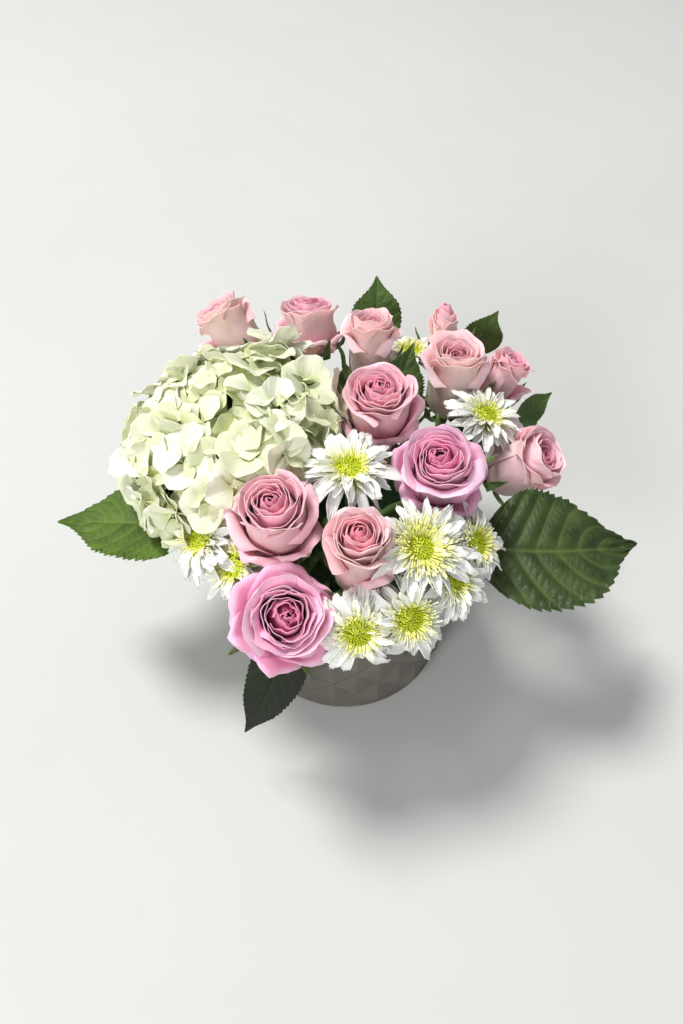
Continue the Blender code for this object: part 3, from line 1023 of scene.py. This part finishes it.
def grow_floret(growth, spot, out, layer, chance):
    """Four sepals round a bead at a spot, facing out, on a stalk from the middle."""
    facing_out = frame_along(out, chance)
    shade = chance.random()
    across = chance.uniform(16.5, 21.5) * MM
    rise = math.radians(chance.uniform(14, 58))
    for petal in range(4):
        aim = petal * math.pi / 2 + 0.10 * chance.normal()
        long = across * chance.uniform(0.88, 1.08)
        wide = across * chance.uniform(0.96, 1.16)
        bend = rise * chance.uniform(0.7, 1.3)
        grid = broad_sepal(aim, long, wide, rise, bend, chance)
        grid[..., 2] += 0.25 * MM * (petal % 2)
        growth.sheet(spot + grid @ facing_out, FLORET_THICKNESS, layer=layer, shade=shade)
    bead = spot + bead_rings(1.0 * MM) @ facing_out
    growth.tube(bead, layer=0.1, shade=shade)
    root = globe_middle - hydrangea_place.axis * globe_half * 0.7
    stalk = np.linspace(root, spot, 5)
    stalk[1:4] -= hydrangea_place.axis * MM * np.array([[3.0], [4.0], [2.0]])
    growth.tube(rings_round(stalk, 0.7 * MM, 5), kind=1, shade=shade)


def grow_hydrangea(seed):
    chance = np.random.default_rng(seed)
    growth = Growth()
    made = 0
    grow_core(growth)
    globe = np.array([globe_width, globe_width, globe_half])
    for k in range(FLORETS + INNER_FLORETS):
        inner = k >= FLORETS
        share = (k - FLORETS + 0.5) / INNER_FLORETS if inner else (k + 0.5) / FLORETS
        height = 1 - COVERED * share
        flat = math.sqrt(1 - height**2)
        turn = k * GOLDEN_TURN + 0.12 * chance.normal()
        way = np.array([flat * math.cos(turn), flat * math.sin(turn), height])
        jitter = chance.uniform(-0.17, 0.02) - 0.16 * inner
        spot = globe_middle + (way * (globe * (1 + jitter))) @ hydrangea_place.frame
        out = unit(way / globe)
        out = unit(out @ hydrangea_place.frame + 0.26 * chance.normal(size=3))
        if clear_of_flowers(spot):
            made += 1
            grow_floret(growth, spot, out, float(np.clip(1.0 + 4.5 * jitter, 0, 1)), chance)
    print("small flowers:", made)
    piece = growth.piece("hydrangea_florets", [hydrangea_cream, stem_green])
    fit(piece, "hydrangea_petal", "hydrangea")


grow_hydrangea(301)

# %% [markdown]
# Each leaf's solid is a folded strip of rings on a stalk that ends in one corner, the
# tip. Walking from the tip along the solid's edges meets its rings one by one, and each
# ring tells where the blade's middle lies, how wide it is and which way is up. The fine
# leaf is then drawn along that line.

# %% Read rings from a strip-shaped solid
NARROWEST_BLADE = 2.6 * MM  # half a width: below it the ring belongs to the stalk


def welded_solid(name):
    """A solid's corners, each once, and the set of neighbours of each corner."""
    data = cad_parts[name].data
    flat = np.empty(len(data.vertices) * 3)
    data.vertices.foreach_get("co", flat)
    corners, number = np.unique(flat.reshape(-1, 3).round(5), axis=0, return_inverse=True)
    number = number.ravel()
    beside = [set() for _ in corners]
    for edge in data.edges:
        a, b = (int(number[i]) for i in edge.vertices)
        if a != b:
            beside[a].add(b)
            beside[b].add(a)
    return corners, beside


def rings_from(start, beside):
    """Sets of corner numbers, each one edge further from the start set."""
    rings, seen = [sorted(start)], set(start)
    while True:
        following = set().union(*(beside[i] for i in rings[-1])) - seen
        if not following:
            return rings
        rings.append(sorted(following))
        seen |= following


def leaf_line(name):
    """Stalk middles, then blade middles, ups and half widths, from the stalk to the tip."""
    corners, beside = welded_solid(name)
    for tip in range(len(corners)):
        rings = rings_from([tip], beside)
        if all(len(ring) == 4 for ring in rings[1:]):
            break
    rings = [corners[ring] for ring in rings[1:]][::-1]
    middles, ups, halves = [], [], []
    for ring in rings:
        apart = np.linalg.norm(ring[:, None] - ring[None], axis=2)
        a, b = np.unravel_index(apart.argmax(), apart.shape)
        inner = [i for i in range(4) if i not in (a, b)]
        middles.append(ring[inner].mean(axis=0))
        halves.append(apart[a, b] / 2)
        ups.append(ring[[a, b]].mean(axis=0) - middles[-1])
    blade = [i for i, half in enumerate(halves) if half > NARROWEST_BLADE]
    neck = blade[0] - 1
    stalk = np.array(middles[: neck + 1])
    line = np.array([*middles[neck:], corners[tip]])
    ups = unit(np.array([ups[blade[0]], *ups[blade[0] :], ups[-1]]))
    halves = np.array([0.0, *halves[blade[0] :], 0.0])
    return stalk, line, ups, halves


stalk, line, ups, halves = leaf_line("leaf_01")
print("leaf 1: stalk rings", len(stalk), "half widths", (halves / MM).round(1))

# %% [markdown]
# A real leaf has a sunken midrib, side veins that curve toward the tip, skin that
# bulges between them, a wavy margin and saw teeth. All of these are added as small
# moves of the grid's points, because they must catch the light from every side. The
# finest net of veins is left to the finish.

# %% The leaf finish


def leaf_finish(name, dark, light, veins_of, gloss):
    made, tree, shader = new_finish(
        name,
        Roughness=gloss,
        Specular_IOR_Level=0.32,
        Subsurface_Weight=0.05,
        Subsurface_Scale=0.003,
        Coat_Weight=0.07,
        Coat_Roughness=0.35,
    )
    clouds = put_group(tree, mottling, Scale=70.0)
    where = add_node(tree, "ShaderNodeTexCoord").outputs["Object"]
    cells = {"Vector": where, "Scale": 420.0, "Randomness": 1.0}
    cells = add_node(tree, "ShaderNodeTexVoronoi", cells, feature="DISTANCE_TO_EDGE")
    net = ramp(tree, cells.outputs["Distance"], 0.0, 0.16)
    thread = math_node(tree, "SUBTRACT", 1.0, net)
    colour = mixed(tree, clouds["Mask"], dark, light)
    colour = tinted(tree, colour, thread, 0.22, light)
    colour = tinted(tree, colour, carried(tree, "vein"), 0.5, veins_of)
    colour = tinted(tree, colour, carried(tree, "outside"), 0.7, paint(104, 134, 78))
    finish_with(tree, shader, colour, net, 0.35, 0.0003)
    rough = math_node(tree, "MULTIPLY_ADD", clouds["Mask"], 0.12)
    rough.node.inputs[2].default_value = gloss
    tree.links.new(rough, shader.inputs["Roughness"])
    return made


broad_green = leaf_finish(
    "broad_leaf_green", paint(54, 80, 17), paint(82, 109, 29), paint(106, 132, 46), 0.55
)
dark_green = leaf_finish(
    "dark_leaf_green", paint(36, 54, 20), paint(62, 82, 36), paint(104, 122, 60), 0.42
)
# Near-black greens for leaf_03: painted shade for the deep shadow it hangs in below the flowers
painted_shade_green = leaf_finish(
    "painted_shade_leaf_green", paint(12, 20, 5), paint(24, 35, 12), paint(42, 56, 20), 0.6
)
rose_leaf_green = leaf_finish(
    "rose_leaf_green", paint(58, 88, 36), paint(84, 114, 54), paint(108, 134, 76), 0.55
)
print("leaf finishes:", broad_green.name, dark_green.name, painted_shade_green.name, rose_leaf_green.name)

# %% [markdown]
# The hydrangea's broad leaves, a dark glossy one, one in the shade whose finish is painted
# shade, near black for the shadow it hangs in, and the small leaves of the roses differ in
# finish, teeth, veins and bulge. One function grows them all from such a row of numbers.
# It widens the leaf along its line, cuts the teeth into the margin, presses the veins in
# and lets the skin bulge between them.

# %% The looks, the outline and the relief of a leaf
LEAVES = [f"leaf_{i:02d}" for i in range(1, 11)]
LINE_STEPS = 24  # between two rings of the solid
BLADE_THICKNESS = 0.42 * MM
RIB_LENGTH, RIB_DEPTH = 0.9, 1.8 * MM  # the rib under the blade, as a share of it

# Finish, teeth on each margin, side veins on each side, bulge, wave, rows of points,
# and how far the widest place lies from the stalk
BROAD = (broad_green, 26, 8, 1.0, 1.0, 150, 0.41)
SMALL = (rose_leaf_green, 20, 7, 0.45, 0.5, 90, 0.41)
LEAF_LOOKS = dict.fromkeys(["leaf_01", "leaf_02", "leaf_08", "leaf_09", "leaf_10"], BROAD)
LEAF_LOOKS["leaf_02"] = (dark_green, 22, 7, 1.6, 1.3, 150, 0.42)
LEAF_LOOKS.update(dict.fromkeys([f"leaf_{i:02d}" for i in range(4, 8)], SMALL))
# leaf_03 takes the near-black finish, which is painted shade for the shadow it hangs in
LEAF_LOOKS["leaf_03"] = (painted_shade_green, 24, 8, 0.4, 0.8, 110, 0.27)
print("leaves:", list(LEAF_LOOKS))


def leaf_outline(line, ups, halves, rows, belly):
    """Even rows along the blade: its middle, its up, its half width and its widest."""
    line, ups = smooth_line(line, LINE_STEPS), unit(smooth_line(ups, LINE_STEPS))
    share = np.linspace(0, 1, len(line))
    t = np.linspace(0, 1, rows)
    line = np.stack([np.interp(t, share, line[:, k]) for k in range(3)], axis=1)
    ups = unit(np.stack([np.interp(t, share, ups[:, k]) for k in range(3)], axis=1))
    widest = halves.max()
    half = widest * np.sin(math.pi * t ** (math.log(0.5) / math.log(belly))) ** 0.82
    half = half * (1 - 0.62 * smoothstep(0.6, 1.0, t)) + 0.3 * MM
    return line, ups, half, widest


def leaf_relief(t, u, half, widest, veins, bulge, wave, chance):
    """How far each point stands off a flat blade, and how much of a vein it is."""
    edge = np.abs(u)
    path = (t - 0.20 * edge**1.25) * (veins + 1)
    beside = np.abs(path - np.round(path))
    main = np.exp(-((edge * half / (0.9 * MM)) ** 2))
    side_veins = np.exp(-((beside / 0.075) ** 2)) * smoothstep(0.0, 0.08, edge)
    side_veins = side_veins * smoothstep(1.02, 0.85, edge) * smoothstep(0.0, 0.06, t)
    # Between two side veins the skin swells, with short rungs across each swelling.
    rungs = np.sin(2 * math.pi * (edge * half / (3.3 * MM) + 0.6 * np.sin(path * 7.0)))
    swell = (np.cos(2 * math.pi * path) - 1) * -0.5
    lift = bulge * widest * 0.022 * swell * smoothstep(0, 0.2, edge)
    lift = lift + bulge * 0.28 * MM * rungs * swell * smoothstep(0.05, 0.2, edge)
    lift = lift - 0.7 * MM * main - 0.35 * MM * side_veins
    lift = lift + 0.15 * half * edge**1.2
    # The margin waves up and down, each side in its own rhythm.
    turn = chance.uniform(0, 2 * math.pi, 2)
    sway = np.where(u > 0, np.sin(9 * t + turn[0]), np.sin(10 * t + turn[1]))
    lift = lift + wave * 0.07 * half * sway * edge**2
    return lift, np.clip(main + 0.8 * side_veins, 0, 1)


# %% [markdown]
# The margin's saw teeth grow outward and lean toward the tip, and fade out at both ends
# of the leaf. The rib under the blade is a tube that runs on from the stalk and gets
# thinner, so that the leaf looks carried from below as well.

# %% Grow each leaf


def grow_leaf(name, seed):
    finish, teeth, veins, bulge, wave, rows, belly = LEAF_LOOKS[name]
    chance = np.random.default_rng(seed)
    growth = Growth()
    stalk, line, ups, halves = leaf_line(name)
    line, ups, half, widest = leaf_outline(line, ups, halves, rows, belly)
    tangent = unit(np.gradient(line, axis=0))
    side = unit(np.cross(tangent, ups))
    ups = np.cross(side, tangent)

    u = np.linspace(1, -1, 41)[None, :]
    t, half = np.linspace(0, 1, rows)[:, None], half[:, None]
    phase = t * teeth + 0.15 * np.sign(u)
    tooth = phase - np.floor(phase)
    bite = smoothstep(0.80, 1.0, np.abs(u)) * np.sin(math.pi * t) ** 0.4
    reach = half * (1 + bite * (0.075 * tooth - 0.03))
    forward = bite * (tooth - 0.4) * 0.9 * widest / teeth
    lift, vein = leaf_relief(t, u, half, widest, veins, bulge, wave, chance)
    grid = line[:, None] + side[:, None] * (u * reach)[..., None]
    grid = grid + ups[:, None] * lift[..., None] + tangent[:, None] * forward[..., None]
    growth.sheet(grid, BLADE_THICKNESS, vein=vein, shade=chance.random())

    ribbed = int(rows * RIB_LENGTH)
    rib = line[:ribbed] - ups[:ribbed] * RIB_DEPTH
    route = np.concatenate([smooth_line(stalk, 4)[:-3], rib[3::6]])
    thick = np.interp(np.arange(len(route)), [0, len(route) * 0.5, len(route)], [1.6, 0.9, 0.3])
    growth.tube(rings_round(route, thick * MM, 10), kind=1, shade=0.5)
    piece = growth.piece(name + "_blade", [finish, stem_green])
    fit(piece, "leaf_green", name)


for seed, name in enumerate(LEAVES, 401):
    grow_leaf(name, seed)

# %% [markdown]
# Most of each stem is hidden, but a hand that lifts a flower should find a real one.
# The CAD stem is an eight-sided tube; its rings give a line and a radius, and a finer
# tube is drawn along the same line.

# %% Grow the stems


def stem_line(name, head):
    corners, beside = welded_solid(name)
    nearest = np.argsort(np.linalg.norm(corners - head.middle, axis=1))[:STEM_SIDES]
    rings = [corners[ring] for ring in rings_from(nearest.tolist(), beside)]
    middles = np.array([ring.mean(axis=0) for ring in rings])
    radius = np.linalg.norm(rings[0] - middles[0], axis=1).mean()
    return middles, radius


for name, place in places.items():
    line, radius = stem_line(name + "_stem", place)
    growth = Growth()
    fine = smooth_line(line, 5)
    # Faint swellings, as real stems have
    knots = 1 + 0.05 * np.sin(np.arange(len(fine)) * 0.9)
    growth.tube(rings_round(fine, radius * knots, 14), shade=0.4)
    piece = growth.piece(name + "_stalk", [stem_green])
    fit(piece, "stem_green", name + "_stem")

# %% [markdown]
# Floral foam is a dark green, dull, crumbly block, wet all through. Only slivers of it
# show between the leaves. Its solid already has a hole for each stem, so it is kept,
# and only its finish is made here: fine pores and a damp, uneven green.

# %% The wet foam


def foam_finish():
    made, tree, shader = new_finish("wet_floral_foam", Specular_IOR_Level=0.4)
    where = add_node(tree, "ShaderNodeTexCoord").outputs["Object"]
    pores = {"Vector": where, "Scale": 900.0}
    pores = add_node(tree, "ShaderNodeTexVoronoi", pores).outputs["Distance"]
    clouds = put_group(tree, mottling, Scale=60.0)
    colour = mixed(tree, clouds["Mask"], paint(22, 48, 24), paint(44, 78, 40))
    colour = mixed(tree, pores, colour, paint(60, 96, 52))
    finish_with(tree, shader, colour, pores, 0.8, 0.0006)
    damp = ramp(tree, clouds["Mask"], 0.0, 1.0, 0.55, 0.95)
    tree.links.new(damp, shader.inputs["Roughness"])
    return made


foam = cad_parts["floral_foam"]
foam.data.materials.clear()
foam.data.materials.append(foam_finish())
print("foam finish on", foam.name)

# %% [markdown]
# The bowl is cast ceramic with a lattice of lozenges in relief, each raised to a point
# a little below its middle. Its solid gives the foot, the rim, the wall and the
# height. It is drawn again here because cast and glazed edges are never sharp: every
# ridge gets a small bevel, and the rim a round lip.

# %% Measure the bowl
bowl_points = solid_points("bowl")
reach = np.hypot(bowl_points[:, 0], bowl_points[:, 1])
bowl_height = bowl_points[:, 2].max()
foot_radius = reach[bowl_points[:, 2] < 0.1 * MM].max()
rim_ring = reach[bowl_points[:, 2] > bowl_height - 0.1 * MM]
rim_radius, mouth_radius = rim_ring.max(), rim_ring.min()
print("bowl height", round(bowl_height / MM, 1), "foot", round(foot_radius / MM, 1))
print("rim", round(rim_radius / MM, 1), "mouth", round(mouth_radius / MM, 1))

# %% [markdown]
# The glaze is a matt, light warm greige, but its colour here is a darker greige: painted
# shade for the shadow that the flowers cast on the bowl. Under a loupe the glaze has a fine
# grain and small darker specks, and it is nowhere quite even. Noise in the bowl's own
# space gives all three, so there is no seam anywhere.

# %% The bowl finish


def ceramic_finish_with_painted_shade():
    made, tree, shader = new_finish(
        "bowl_ceramic", Specular_IOR_Level=0.45, Coat_Weight=0.15, Coat_Roughness=0.3
    )
    where = add_node(tree, "ShaderNodeTexCoord").outputs["Object"]
    clouds = put_group(tree, mottling, Scale=26.0)
    grain = {"Vector": where, "Scale": 1400.0, "Detail": 2.0}
    grain = add_node(tree, "ShaderNodeTexNoise", grain).outputs["Fac"]
    specks = {"Vector": where, "Scale": 330.0}
    specks = add_node(tree, "ShaderNodeTexVoronoi", specks).outputs["Distance"]
    # Both greiges are darker than the glaze's own colour: painted shade for the flowers' shadow
    colour = mixed(tree, clouds["Mask"], paint(94, 89, 81), paint(108, 103, 94))
    dots = ramp(tree, specks, 0.05, 0.12, 0.35, 0.0)
    colour = mixed(tree, dots, colour, paint(72, 68, 61))
    finish_with(tree, shader, colour, grain, 0.12, 0.0003)
    rough = ramp(tree, clouds["Mask"], 0.0, 1.0, 0.42, 0.55)
    tree.links.new(rough, shader.inputs["Roughness"])
    return made


print("the bowl's finish is ready to use")

# %% [markdown]
# The wall is a lattice: rows of points, each row turned half a step from the last. Four
# neighbours bound a lozenge, and a raised fifth point makes it a low pyramid. Carving
# the lozenges with a Boolean would leave thin slivers, so each face is laid one by one.

# %% Rings of the bowl and its raised lozenges
LOZENGES, LATTICE_ROWS = 15, 7
PLAIN_BAND, LOZENGE_RELIEF, LOZENGE_POINT = 4 * MM, 2.6 * MM, 0.3
points, faces = [], []


def add_points(new):
    """Keeps new points and gives their numbers."""
    points.extend(new.tolist())
    return list(range(len(points) - len(new), len(points)))


def bowl_ring(radius, height, count=LOZENGES, turn=0.0):
    angle = 2 * math.pi * (np.arange(count) + turn) / count
    ring = [radius * np.cos(angle), radius * np.sin(angle), np.full(count, height)]
    return add_points(np.stack(ring, axis=1))


def raise_lozenge(left, right, lower, upper):
    """A low pyramid on the four corners of a lozenge, with its point below the middle."""
    a, b = np.array(points[left]), np.array(points[right])
    low, high = points[lower][2], points[upper][2]
    out = (a + b)[:2] / np.linalg.norm((a + b)[:2])
    out = out * (np.hypot(*a[:2]) + LOZENGE_RELIEF)
    raised = [[*out, low + LOZENGE_POINT * (high - low)]]
    top = add_points(np.array(raised))[0]
    for edge in ((lower, right), (right, upper), (upper, left), (left, lower)):
        faces.append((*edge, top))


rows = []
for k in range(LATTICE_ROWS + 1):
    height = PLAIN_BAND + (bowl_height - 2 * PLAIN_BAND) * k / LATTICE_ROWS
    wall = foot_radius + (rim_radius - foot_radius) * height / bowl_height
    rows.append(bowl_ring(wall, height, turn=0.5 * (k % 2)))
for k in range(LATTICE_ROWS + 1):
    for i in range(LOZENGES):
        left, right = rows[k][i], rows[k][(i + 1) % LOZENGES]
        beside = (i + k % 2) % LOZENGES
        if k == 0:
            faces.append((left, right, rows[1][beside]))
        elif k == LATTICE_ROWS:
            faces.append((right, left, rows[k - 1][beside]))
        else:
            raise_lozenge(left, right, rows[k - 1][beside], rows[k + 1][beside])
print("the lattice has", len(faces), "faces")

# %% [markdown]
# The foot and the rim are round, with three times as many corners as a row of the
# lattice. The foot turns under onto a flat ring, the rim rolls over in a half circle,
# and from there the inside goes down to the floor of the bowl.

# %% The foot, the lip and the inside
FINE = 3 * LOZENGES


def fan(row, ring, first, upward):
    """Joins each corner of a row to the three nearest steps of a finer ring."""
    for i, corner in enumerate(row):
        near = [ring[(3 * i + first + step) % FINE] for step in (-1, 0, 1, 2)]
        found = [(corner, near[0], near[1]), (corner, near[1], near[2])]
        found.append((corner, near[2], near[3], row[(i + 1) % len(row)]))
        faces.extend(face[::-1] if upward else face for face in found)


half_turn = 0.5 * (LATTICE_ROWS % 2)
lip = (rim_radius - mouth_radius) / 2
outline = [(foot_radius, 0.9 * MM), (foot_radius - 1.1 * MM, 0)]
outline += [(foot_radius - 6 * MM, 0), (foot_radius - 7.5 * MM, 1.6 * MM)]
foot = [bowl_ring(r, z, FINE) for r, z in outline]
fan(rows[0], foot[0], 0, False)
curve = [
    (rim_radius - lip + lip * math.cos(a), bowl_height - lip + lip * math.sin(a))
    for a in np.linspace(0, math.pi, 9)
]
inside = [(mouth_radius - 1.5 * MM, bowl_height * 0.6), (mouth_radius - 5 * MM, 14 * MM)]
inside += [(mouth_radius - 9 * MM, 7 * MM), (mouth_radius - 16 * MM, 6 * MM)]
rim = [bowl_ring(r, z, FINE, half_turn) for r, z in curve + inside]
fan(rows[-1], rim[0], LATTICE_ROWS % 2, True)
for rings, order in ((rim, 1), (foot, -1)):
    for lower, upper in zip(rings, rings[1:]):
        for i in range(FINE):
            after = (i + 1) % FINE
            face = (lower[i], lower[after], upper[after], upper[i])
            faces.append(face[::order])
faces.append(rim[-1])
faces.append(foot[-1][::-1])
print("the whole bowl has", len(points), "points and", len(faces), "faces")

# %% [markdown]
# The mesh is shaded smooth, and only edges that turn by more than a few degrees are
# marked sharp, so the facets stay flat and the lip round. The bevel then softens those
# ridges, and hardened normals keep it from shading the facets as if they were bulged.

# %% Make the bowl's piece
SHARP_FROM, BEVEL_FROM = math.radians(4), math.radians(5)
RIDGE_WIDTH = 0.45 * MM
mesh = bpy.data.meshes.new("bowl_body")
mesh.from_pydata(points, [], faces)
mesh.materials.append(ceramic_finish_with_painted_shade())
mesh.shade_smooth()
mesh.set_sharp_from_angle(angle=SHARP_FROM)
bowl = add_to_scene("bowl_body", mesh)
bevel = bowl.modifiers.new("soft_ridges", "BEVEL")
bevel.width = RIDGE_WIDTH
bevel.segments = 2
bevel.limit_method = "ANGLE"
bevel.angle_limit = BEVEL_FROM
bevel.harden_normals = True
fit(bowl, "bowl_ceramic", "bowl")

# %% [markdown]
# A plain pale floor keeps the eye on the flowers. It is wide enough that its far edge
# stays out of sight from above, and only very faintly mottled.

# %% The floor


def floor_finish():
    made, tree, shader = new_finish("pale_floor", Roughness=0.85, Specular_IOR_Level=0.2)
    clouds = put_group(tree, mottling, Scale=3.0)
    colour = mixed(tree, clouds["Mask"], paint(199, 200, 197), paint(202, 203, 200))
    finish_with(tree, shader, colour)
    return made


floor_mesh = bpy.data.meshes.new("floor")
span = 6.0
corners = [(-span, -span, 0), (span, -span, 0), (span, span, 0), (-span, span, 0)]
floor_mesh.from_pydata(corners, [], [(0, 1, 2, 3)])
floor_mesh.materials.append(floor_finish())
floor = add_to_scene("floor", floor_mesh)
floor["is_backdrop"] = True
print("floor", floor.dimensions[:])

# %% [markdown]
# One wide lamp stands high on the left and a little behind, as a ceiling light would,
# and gives the soft shadow. A weaker one fills from the front left, and a pale world
# lights what both leave dark. Wide lamps, far off, keep the floor evenly bright.

# %% The lamps and the world


def add_lamp(name, place, target, size, power, colour):
    data = bpy.data.lights.new(name, "AREA")
    data.shape = "DISK"
    data.size, data.energy, data.color = size, power, colour
    lamp = add_to_scene(name, data)
    lamp.location = place
    # Turned so that its face looks at the target
    way = np.array(place) - np.array(target)
    lamp.rotation_euler = (math.atan2(math.hypot(way[0], way[1]), way[2]), 0,
                           math.atan2(way[1], way[0]) + math.pi / 2)
    print(name, power, "W")


add_lamp("ceiling_lamp", (-1.2, 0.8, 3.2), (0, 0, 0.1), 1.1, 116, (1.0, 0.985, 0.96))
add_lamp("front_fill", (-1.2, -2.0, 1.3), (0, 0, 0.1), 0.9, 34, (1.0, 0.99, 0.98))
world = bpy.data.worlds.new("pale_room")
world.use_nodes = True
world.node_tree.nodes["Background"].inputs["Color"].default_value = (0.92, 0.95, 1.0, 1)
world.node_tree.nodes["Background"].inputs["Strength"].default_value = 0.4
bpy.context.scene.world = world
bpy.context.scene.view_settings.view_transform = "Standard"

# %% [markdown]
# The camera looks down at fifty degrees, as a person does at a table in front of them.
# It stands close, so that the near flowers look larger than the far ones.

# %% The camera
camera_data = bpy.data.cameras.new("camera")
camera_data.lens = 29.8
camera_data.sensor_width = 36
camera = add_to_scene("camera", camera_data)
camera.location = (-0.002, -0.331, 0.520)
camera.rotation_euler = (math.radians(40), 0, 0)
bpy.context.scene.camera = camera
print("camera", [round(part, 3) for part in camera.location], camera_data.lens, "mm")

# %% Finish
boxes = {"cad": cad_box, "looks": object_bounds()}
boxes = {name: [list(map(float, corner)) for corner in box] for name, box in boxes.items()}
print(boxes)
